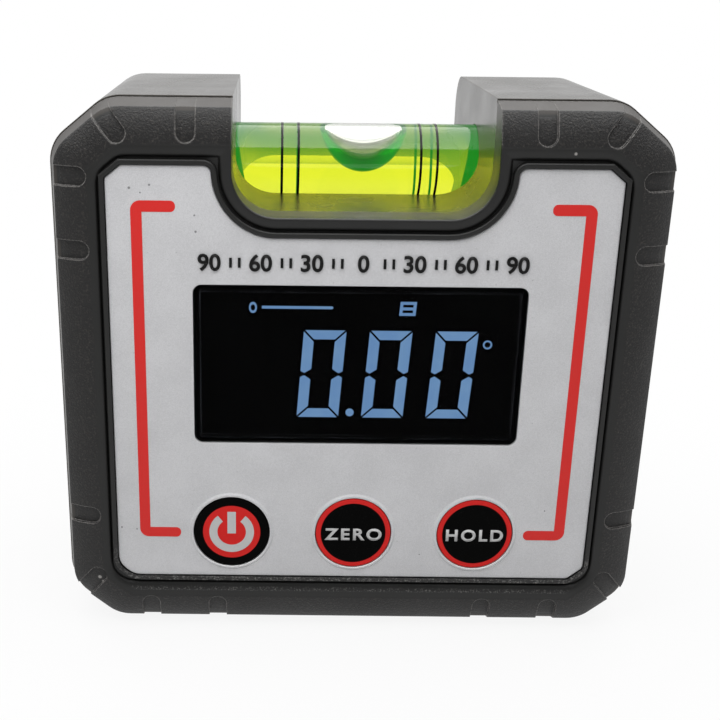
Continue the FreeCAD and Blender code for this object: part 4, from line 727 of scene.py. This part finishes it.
def emptySurface(name):
    # a face between two stuffs of nearly the same index, such as acrylic against the liquid: it can't be seen
    material = bpy.data.materials.new(name)
    material.use_nodes = True
    tree = material.node_tree
    tree.nodes.remove(tree.nodes["Principled BSDF"])
    clear = addNode(tree, "ShaderNodeBsdfTransparent")
    tree.links.new(clear.outputs[0], tree.nodes["Material Output"].inputs["Surface"])
    return material


def dyedSpirit():
    # fluorescent spirit: takes the blue out of what is seen through it; its faint green glow is painted light,
    # shining without a lamp
    material = emptySurface("dyed spirit")
    tree = material.node_tree
    dye = addNode(tree, "ShaderNodeVolumeAbsorption",
                  {"Color": linear(vialSpec["dye"]), "Density": vialSpec["dyeDensity"]})
    # painted glow: the liquid gives off green light of its own
    glow = addNode(tree, "ShaderNodeEmission",
                   {"Color": linear(vialSpec["glow"]), "Strength": vialSpec["paintedGlowStrength"]})
    both = addNode(tree, "ShaderNodeAddShader", None, {0: dye, 1: glow})
    tree.links.new(both.outputs[0], tree.nodes["Material Output"].inputs["Volume"])
    return material


def airPocket():
    # air inside liquid: light bends the other way, so its underside mirrors and its middle is clear
    material = emptySurface("air in spirit")
    tree = material.node_tree
    lens = addNode(tree, "ShaderNodeBsdfGlass", {"Roughness": 0.0, "IOR": vialSpec["airInLiquid"]})
    clear = addNode(tree, "ShaderNodeBsdfTransparent")
    path = addNode(tree, "ShaderNodeLightPath")
    mixed = addNode(tree, "ShaderNodeMixShader", None, {0: path.outputs["Is Shadow Ray"], 1: lens, 2: clear})
    tree.links.new(mixed.outputs[0], tree.nodes["Material Output"].inputs["Surface"])
    return material


def vialTube():
    spec = vialSpec
    left, right = low("vial_tube", "x"), high("vial_tube", "x")
    bore = (high("vial_plug", "z") - low("vial_plug", "z")) / 2 + spec["boreSlack"]
    boreStart = low("vial_liquid", "x") - spec["boreSlack"]
    cut = spec["chamfer"]
    mesh = skinRings("vial_tube_clear", turned([
        (left, 0), (left, vialRadius - cut), (left + cut, vialRadius), (right - cut, vialRadius),
        (right, vialRadius - cut), (right, bore), (boreStart, bore), (boreStart, 0)], evenTurns))
    tube = addPiece("vial_tube_clear", mesh, polishedAcrylic(), "case")
    mesh.materials.append(emptySurface("acrylic wetted by liquid"))
    inside = bore + spec["boreSlack"] / 3
    for face in mesh.polygons:
        inner = all(math.hypot(mesh.vertices[spot].co.y / mm - vialY, mesh.vertices[spot].co.z / mm - vialZ)
                    < inside for spot in face.vertices)
        if inner and face.center.x / mm > boreStart - spec["boreSlack"] / 3:
            face.material_index = 1
    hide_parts("vial_tube")


bubbleTop, bubbleLow = high("vial_bubble", "z"), low("vial_bubble", "z")
bubbleLeft, bubbleRight = low("vial_bubble", "x"), high("vial_bubble", "x")
bubbleHalves = ((bubbleRight - bubbleLeft) / 2, vialSpec["bubbleHalfY"],
                bubbleTop - vialSpec["bubbleGap"] - bubbleLow)


def bubblePoint(aim, grow):
    # distance from the heart to the lozenge and to the bore's roof, blended so that the edge is round
    heart = bubbleTop - vialSpec["bubbleHeart"] * (bubbleTop - bubbleLow)
    offset = heart - (bubbleTop - vialSpec["bubbleGap"])
    a = sum((way / half) ** 2 for way, half in zip(aim, bubbleHalves))
    b = 2 * aim[2] * offset / bubbleHalves[2] ** 2
    c = (offset / bubbleHalves[2]) ** 2 - 1
    reach = (-b + math.sqrt(b * b - 4 * a * c)) / (2 * a)
    across = aim[1] ** 2 + aim[2] ** 2
    if across > 1e-9:
        rise = heart - vialZ
        b = 2 * aim[2] * rise
        toRoof = (-b + math.sqrt(b * b - 4 * across * (rise ** 2 - (bubbleTop - vialZ) ** 2))) / (2 * across)
        power = vialSpec["bubbleBlend"]
        reach = (reach ** -power + toRoof ** -power) ** (-1 / power)
    reach += grow
    middleX = (bubbleLeft + bubbleRight) / 2
    return (middleX + aim[0] * reach, vialY + aim[1] * reach, heart + aim[2] * reach)


def bubbleRings(grow, first, last):  # rings from the right tip, row 0, to the left tip, row bubbleRows
    spec = vialSpec
    rings = []
    for row in range(first, last + 1):
        tilt = math.pi * row / spec["bubbleRows"]
        span = 1 if row in (0, spec["bubbleRows"]) else spec["bubbleSpan"]
        turns = [2 * math.pi * index / spec["bubbleSpan"] for index in range(span)]
        rings.append([bubblePoint((math.cos(tilt), math.sin(tilt) * math.cos(turn),
                                   math.sin(tilt) * math.sin(turn)),
                                  grow) for turn in turns])
    return rings


def vialBubble():  # a rounded lozenge, flattened on top by the bore
    mesh = skinRings("vial_bubble_clear", bubbleRings(0.0, 0, vialSpec["bubbleRows"]), creased=False)
    bubble = addPiece("vial_bubble_clear", mesh, airPocket(), "vial_bubble")
    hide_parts("vial_bubble")


def vialLiquid():  # two halves that meet under the bubble, each with half of the bubble's hollow
    spec = vialSpec
    radius = (high("vial_liquid", "y") - low("vial_liquid", "y")) / 2
    cut = spec["endRound"]
    centreRow = spec["bubbleRows"] // 2
    dyed = dyedSpirit()
    for name, side, end, tip, rows in (
            ("left", -1, low("vial_liquid", "x"), bubbleLeft, (centreRow, spec["bubbleRows"])),
            ("right", 1, high("vial_liquid", "x"), bubbleRight, (0, centreRow))):
        hollow = bubbleRings(spec["cavityGap"], *rows)
        if side > 0:
            hollow.reverse()  # from the middle out to the tip
        angles = [math.atan2(z - vialZ, y - vialY) for x, y, z in hollow[0]]
        meet = hollow[0][0][0] + side * spec["halfGap"]
        hollow[0] = [(meet, y, z) for x, y, z in hollow[0]]
        outer = turned([(end, 0), (end, radius - cut), (end - side * cut, radius), (meet, radius)], angles)
        mesh = skinRings("vial_liquid_" + name, outer + hollow)
        mesh.materials.append(dyed)
        half = bpy.data.objects.new("vial_liquid_" + name, mesh)
        scene.collection.objects.link(half)
        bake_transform(half)
        if side < 0:
            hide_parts("vial_liquid")


def vialRings():
    spec = vialSpec
    outer = (high("vial_rings", "z") - low("vial_rings", "z")) / 2
    inner = vialRadius - spec["ringSink"]
    black = screenInk("black ring ink", "050505", 0.15, "0c0c0c")
    for number, place in enumerate(spec["ringPlaces"], start=1):
        left, right = vialX + place - spec["ringWide"] / 2, vialX + place + spec["ringWide"] / 2
        mesh = skinRings("vial_ring_%d" % number, turned(
            [(left, inner), (left, outer), (right, outer), (right, inner), (left, inner)], evenTurns))
        form = bmesh.new()
        form.from_mesh(mesh)
        bmesh.ops.remove_doubles(form, verts=form.verts, dist=1e-7)
        form.to_mesh(mesh)
        form.free()
        addPiece("vial_ring_%d" % number, mesh, black, "case")
    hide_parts("vial_rings")


vialTube()
vialLiquid()
vialBubble()
vialRings()
dress("vial_plug", polishedAcrylic())
print("vial finished")


# Hidden and small parts


def platedMetal(name, colour, rough, grain):
    # plated steel: bright, with faint lines from drawing or grinding
    material, tree, shader, place = startMaterial(name, colour, {"Roughness": rough, "Metallic": 1.0})
    along = addNode(tree, "ShaderNodeVectorMath", {"operation": "MULTIPLY", 1: (1, 1, 0.1)}, {0: place})
    lines = addNode(tree, "ShaderNodeTexNoise", {"Scale": perMetre(grain), "Detail": 3.0}, {"Vector": along})
    gloss = addNode(tree, "ShaderNodeMapRange", {1: 0.3, 2: 0.7, 3: rough - 0.06, 4: rough + 0.1}, {0: lines})
    bump = addNode(tree, "ShaderNodeBump", {"Strength": 1.0, "Distance": 0.003 * mm}, {"Height": lines})
    finishWith(tree, shader, {"Roughness": gloss, "Normal": bump})
    return material


dress("base_magnets", platedMetal("nickel-plated magnet", "cfcac0", 0.2, 0.2))
zincSteel = platedMetal("zinc-plated steel", "b9bbbd", 0.32, 0.15)
dress("case_screws", zincSteel)
dress("board_screws", zincSteel)
springStrip = platedMetal("nickel-plated spring strip", "cdc8bb", 0.25, 0.3)
dress("battery_contact_left", springStrip)
dress("battery_contacts_right", springStrip)
dress("tactile_switches", platedMetal("tinned steel can", "b4b4b2", 0.35, 0.2))


def mottled(name, first, second, size, rough):
    # a plain moulded, coated or laminated surface: its own colour with slight clouds and a fine tooth
    material, tree, shader, place = startMaterial(name, first, {"Roughness": rough})
    grain = addNode(tree, "ShaderNodeTexNoise", {"Scale": perMetre(size), "Detail": 3.0}, {"Vector": place})
    clouds = addNode(tree, "ShaderNodeMapRange", {**softStep, 1: 0.35, 2: 0.7}, {0: grain})
    tone = addNode(tree, "ShaderNodeMix", {"data_type": "RGBA", 6: linear(first), 7: linear(second)},
                   {0: clouds})
    bump = addNode(tree, "ShaderNodeBump", {"Strength": 1.0, "Distance": 0.01 * mm}, {"Height": grain})
    finishWith(tree, shader, {"Base Color": tone, "Normal": bump})
    return material


cellSpec = {"wrap": "5c6066", "band": "9a9ea3", "bandWide": 11.0, "bandEdge": 0.05, "crease": 2.0,
            "creaseDepth": 0.02}


def wrappedCell(node, bandEnd, leftBand):  # leftBand is 1 where the band is at the left end, 0 at the right
    # a battery can in printed shrink wrap: plain grey with a pale band at its positive end
    spec = cellSpec
    material, tree, shader, place = startMaterial("shrink wrap " + node.split("_")[-1], spec["wrap"],
                                                  {"Roughness": 0.3})
    x = addNode(tree, "ShaderNodeSeparateXYZ", None, {0: place}).outputs["X"]
    band = addNode(tree, "ShaderNodeMapRange",
                   {**softStep, 1: (bandEnd - spec["bandEdge"]) * mm, 2: (bandEnd + spec["bandEdge"]) * mm,
                    3: leftBand, 4: 1 - leftBand}, {0: x})
    tone = addNode(tree, "ShaderNodeMix",
                   {"data_type": "RGBA", 6: linear(spec["wrap"]), 7: linear(spec["band"])}, {0: band})
    creases = addNode(tree, "ShaderNodeTexNoise", {"Scale": perMetre(spec["crease"]), "Detail": 3.0},
                      {"Vector": place})
    bump = addNode(tree, "ShaderNodeBump", {"Strength": 1.0, "Distance": spec["creaseDepth"] * mm},
                   {"Height": creases})
    finishWith(tree, shader, {"Base Color": tone, "Normal": bump})
    return material


dress("circuit_board", mottled("green solder mask", "1c5a34", "246a3e", 1.2, 0.3))
dress("controller_chip", mottled("epoxy moulding compound", "1b1b1c", "242425", 0.1, 0.55))
dress("tilt_sensor", mottled("epoxy moulding compound light", "2a2a2b", "323233", 0.1, 0.5))
dress("light_guide", mottled("milky acrylic", "dfe3e3", "eef0f0", 0.8, 0.35))
dress("contact_strip", mottled("grey silicone rubber", "8d8f8e", "999b9a", 0.4, 0.7))
cellLeft, cellRight = low("battery_cell_lower", "x"), high("battery_cell_lower", "x")
dress("battery_cell_lower", wrappedCell("battery_cell_lower", cellLeft + cellSpec["bandWide"], 1))
dress("battery_cell_upper", wrappedCell("battery_cell_upper", cellRight - cellSpec["bandWide"], 0))
print("small parts finished")


# Floor, light and camera

stageSpec = {"reach": 4000.0, "floor": "bebebe", "near": 30.0, "far": 95.0, "nearWhite": 0.9,
             "worldDiffuse": 0.3,
             "frontDark": 0.28, "rearBright": 0.9, "darkBelow": 47.0,
             "tableEnd": (420.0, 600.0), "box": (-30, 36, 400), "boxSize": (800, 730), "boxWatts": 5.2,
             "fill": (-30, -70, 100), "fillSize": (50, 40), "fillWatts": 0.03}


def stageFloor():
    spec = stageSpec
    form = bmesh.new()
    reach = spec["reach"] * mm
    form.faces.new([form.verts.new((x * reach, y * reach, 0)) for x,
                    y in ((-1, -1), (1, -1), (1, 1), (-1, 1))])
    mesh = meshFrom("floor", form)
    floor = bpy.data.objects.new("floor", mesh)
    scene.collection.objects.link(floor)
    material = bpy.data.materials.new("pale floor")
    material.use_nodes = True
    tree = material.node_tree
    tree.nodes.remove(tree.nodes["Principled BSDF"])
    plain = addNode(tree, "ShaderNodeBsdfDiffuse", {"Color": linear(spec["floor"])})
    bright = addNode(tree, "ShaderNodeEmission", {"Color": white, "Strength": 1.0})
    path = addNode(tree, "ShaderNodeLightPath").outputs
    mirrored = addNode(tree, "ShaderNodeMath", {"operation": "MAXIMUM"},
                       {0: path["Is Glossy Ray"], 1: path["Is Transmission Ray"]})
    seen = addNode(tree, "ShaderNodeMath", {"operation": "MAXIMUM"}, {0: path["Is Camera Ray"], 1: mirrored})
    place = addNode(tree, "ShaderNodeTexCoord").outputs["Object"]
    away = addNode(tree, "ShaderNodeVectorMath", {"operation": "LENGTH"}, {0: place})
    whiter = addNode(tree, "ShaderNodeMapRange",
                     {**softStep, 1: spec["near"] * mm, 2: spec["far"] * mm,
                      3: spec["nearWhite"]}, {0: away})
    # through the vial the table shows as it is, out to its far edge, with the white wall beyond it
    y = addNode(tree, "ShaderNodeSeparateXYZ", None, {0: place}).outputs["Y"]
    beyond = addNode(tree, "ShaderNodeMapRange",
                     {**softStep, 1: spec["tableEnd"][0] * mm, 2: spec["tableEnd"][1] * mm},
                     {0: y})
    through = addNode(tree, "ShaderNodeMix", {"data_type": "FLOAT"},
                      {0: path["Is Transmission Ray"], 2: whiter, 3: beyond})
    share = addNode(tree, "ShaderNodeMath", {"operation": "MULTIPLY"}, {0: seen, 1: through})
    mixed = addNode(tree, "ShaderNodeMixShader", None, {0: share, 1: plain, 2: bright})
    tree.links.new(mixed.outputs[0], tree.nodes["Material Output"].inputs["Surface"])
    mesh.materials.append(material)


def stageLight():
    spec = stageSpec
    world = bpy.data.worlds.new("studio")
    scene.world = world
    world.use_nodes = True
    tree = world.node_tree
    tree.nodes.clear()
    path = addNode(tree, "ShaderNodeLightPath").outputs
    seen = addNode(tree, "ShaderNodeMath", {"operation": "MAXIMUM"},
                   {0: path["Is Camera Ray"], 1: path["Is Transmission Ray"]})
    plain = addNode(tree, "ShaderNodeMapRange", {3: spec["worldDiffuse"]}, {0: seen})
    # mirrored in the object: a dark room in front, below the softbox, and a white wall behind
    x, y, z = addNode(tree, "ShaderNodeSeparateXYZ", None,
                      {0: addNode(tree, "ShaderNodeTexCoord").outputs["Generated"]}).outputs
    slope = math.tan(math.radians(spec["darkBelow"]))
    above = addNode(tree, "ShaderNodeMath", {"operation": "MULTIPLY_ADD", 1: slope}, {0: y, 2: z})
    mirror = addNode(tree, "ShaderNodeMapRange", {**softStep, 1: -0.1, 2: 0.1,
                                                  3: spec["frontDark"], 4: spec["rearBright"]}, {0: above})
    mirrored = addNode(tree, "ShaderNodeMath", {"operation": "SUBTRACT", "use_clamp": True},
                       {0: path["Is Glossy Ray"], 1: path["Is Transmission Ray"]})
    strength = addNode(tree, "ShaderNodeMix", {"data_type": "FLOAT"}, {0: mirrored, 2: plain, 3: mirror})
    sky = addNode(tree, "ShaderNodeBackground", {"Color": white}, {"Strength": strength})
    output = addNode(tree, "ShaderNodeOutputWorld")
    tree.links.new(sky.outputs[0], output.inputs["Surface"])
    for name, size, watts in (("box", "boxSize", "boxWatts"), ("fill", "fillSize", "fillWatts")):
        lamp = bpy.data.lights.new("softbox " + name, "AREA")
        lamp.shape = "RECTANGLE"
        lamp.size, lamp.size_y = (value * mm for value in spec[size])
        lamp.energy = spec[watts]
        holder = bpy.data.objects.new("softbox " + name, lamp)
        scene.collection.objects.link(holder)
        holder.location = Vector(spec[name]) * mm
        holder.visible_camera = False
        if name == "fill":  # a small reflector over the front, kept out of the gloss and the glass
            aim = Vector((0, lipFace * mm, 38 * mm)) - holder.location
            holder.rotation_euler = aim.to_track_quat("-Z", "Y").to_euler()
            holder.visible_glossy = False
            holder.visible_transmission = False


cameraSpec = {"place": (-8.64, -130.69, 68.57), "pitch": 20.638, "roll": -0.602, "lens": 59.78,
              "shift": (0.1217, 0.0764), "near": 5.0}


def stageCamera():
    camera = bpy.data.cameras.new("camera")
    camera.lens = cameraSpec["lens"]
    camera.sensor_width = 36.0
    camera.shift_x, camera.shift_y = cameraSpec["shift"]
    camera.clip_start = cameraSpec["near"] * mm
    holder = bpy.data.objects.new("camera", camera)
    scene.collection.objects.link(holder)
    pitch, roll = math.radians(cameraSpec["pitch"]), math.radians(cameraSpec["roll"])
    forward = Vector((0, math.cos(pitch), -math.sin(pitch)))
    right = Vector((1, 0, 0))
    down = forward.cross(right)
    across = right * math.cos(roll) + down * math.sin(roll)
    up = right * math.sin(roll) - down * math.cos(roll)
    turn = Matrix((across, up, -forward)).transposed().to_4x4()
    holder.matrix_world = Matrix.Translation(Vector(cameraSpec["place"]) * mm) @ turn
    scene.camera = holder


stageFloor()
stageLight()
stageCamera()
scene.view_settings.view_transform = "Standard"
print("stage finished")
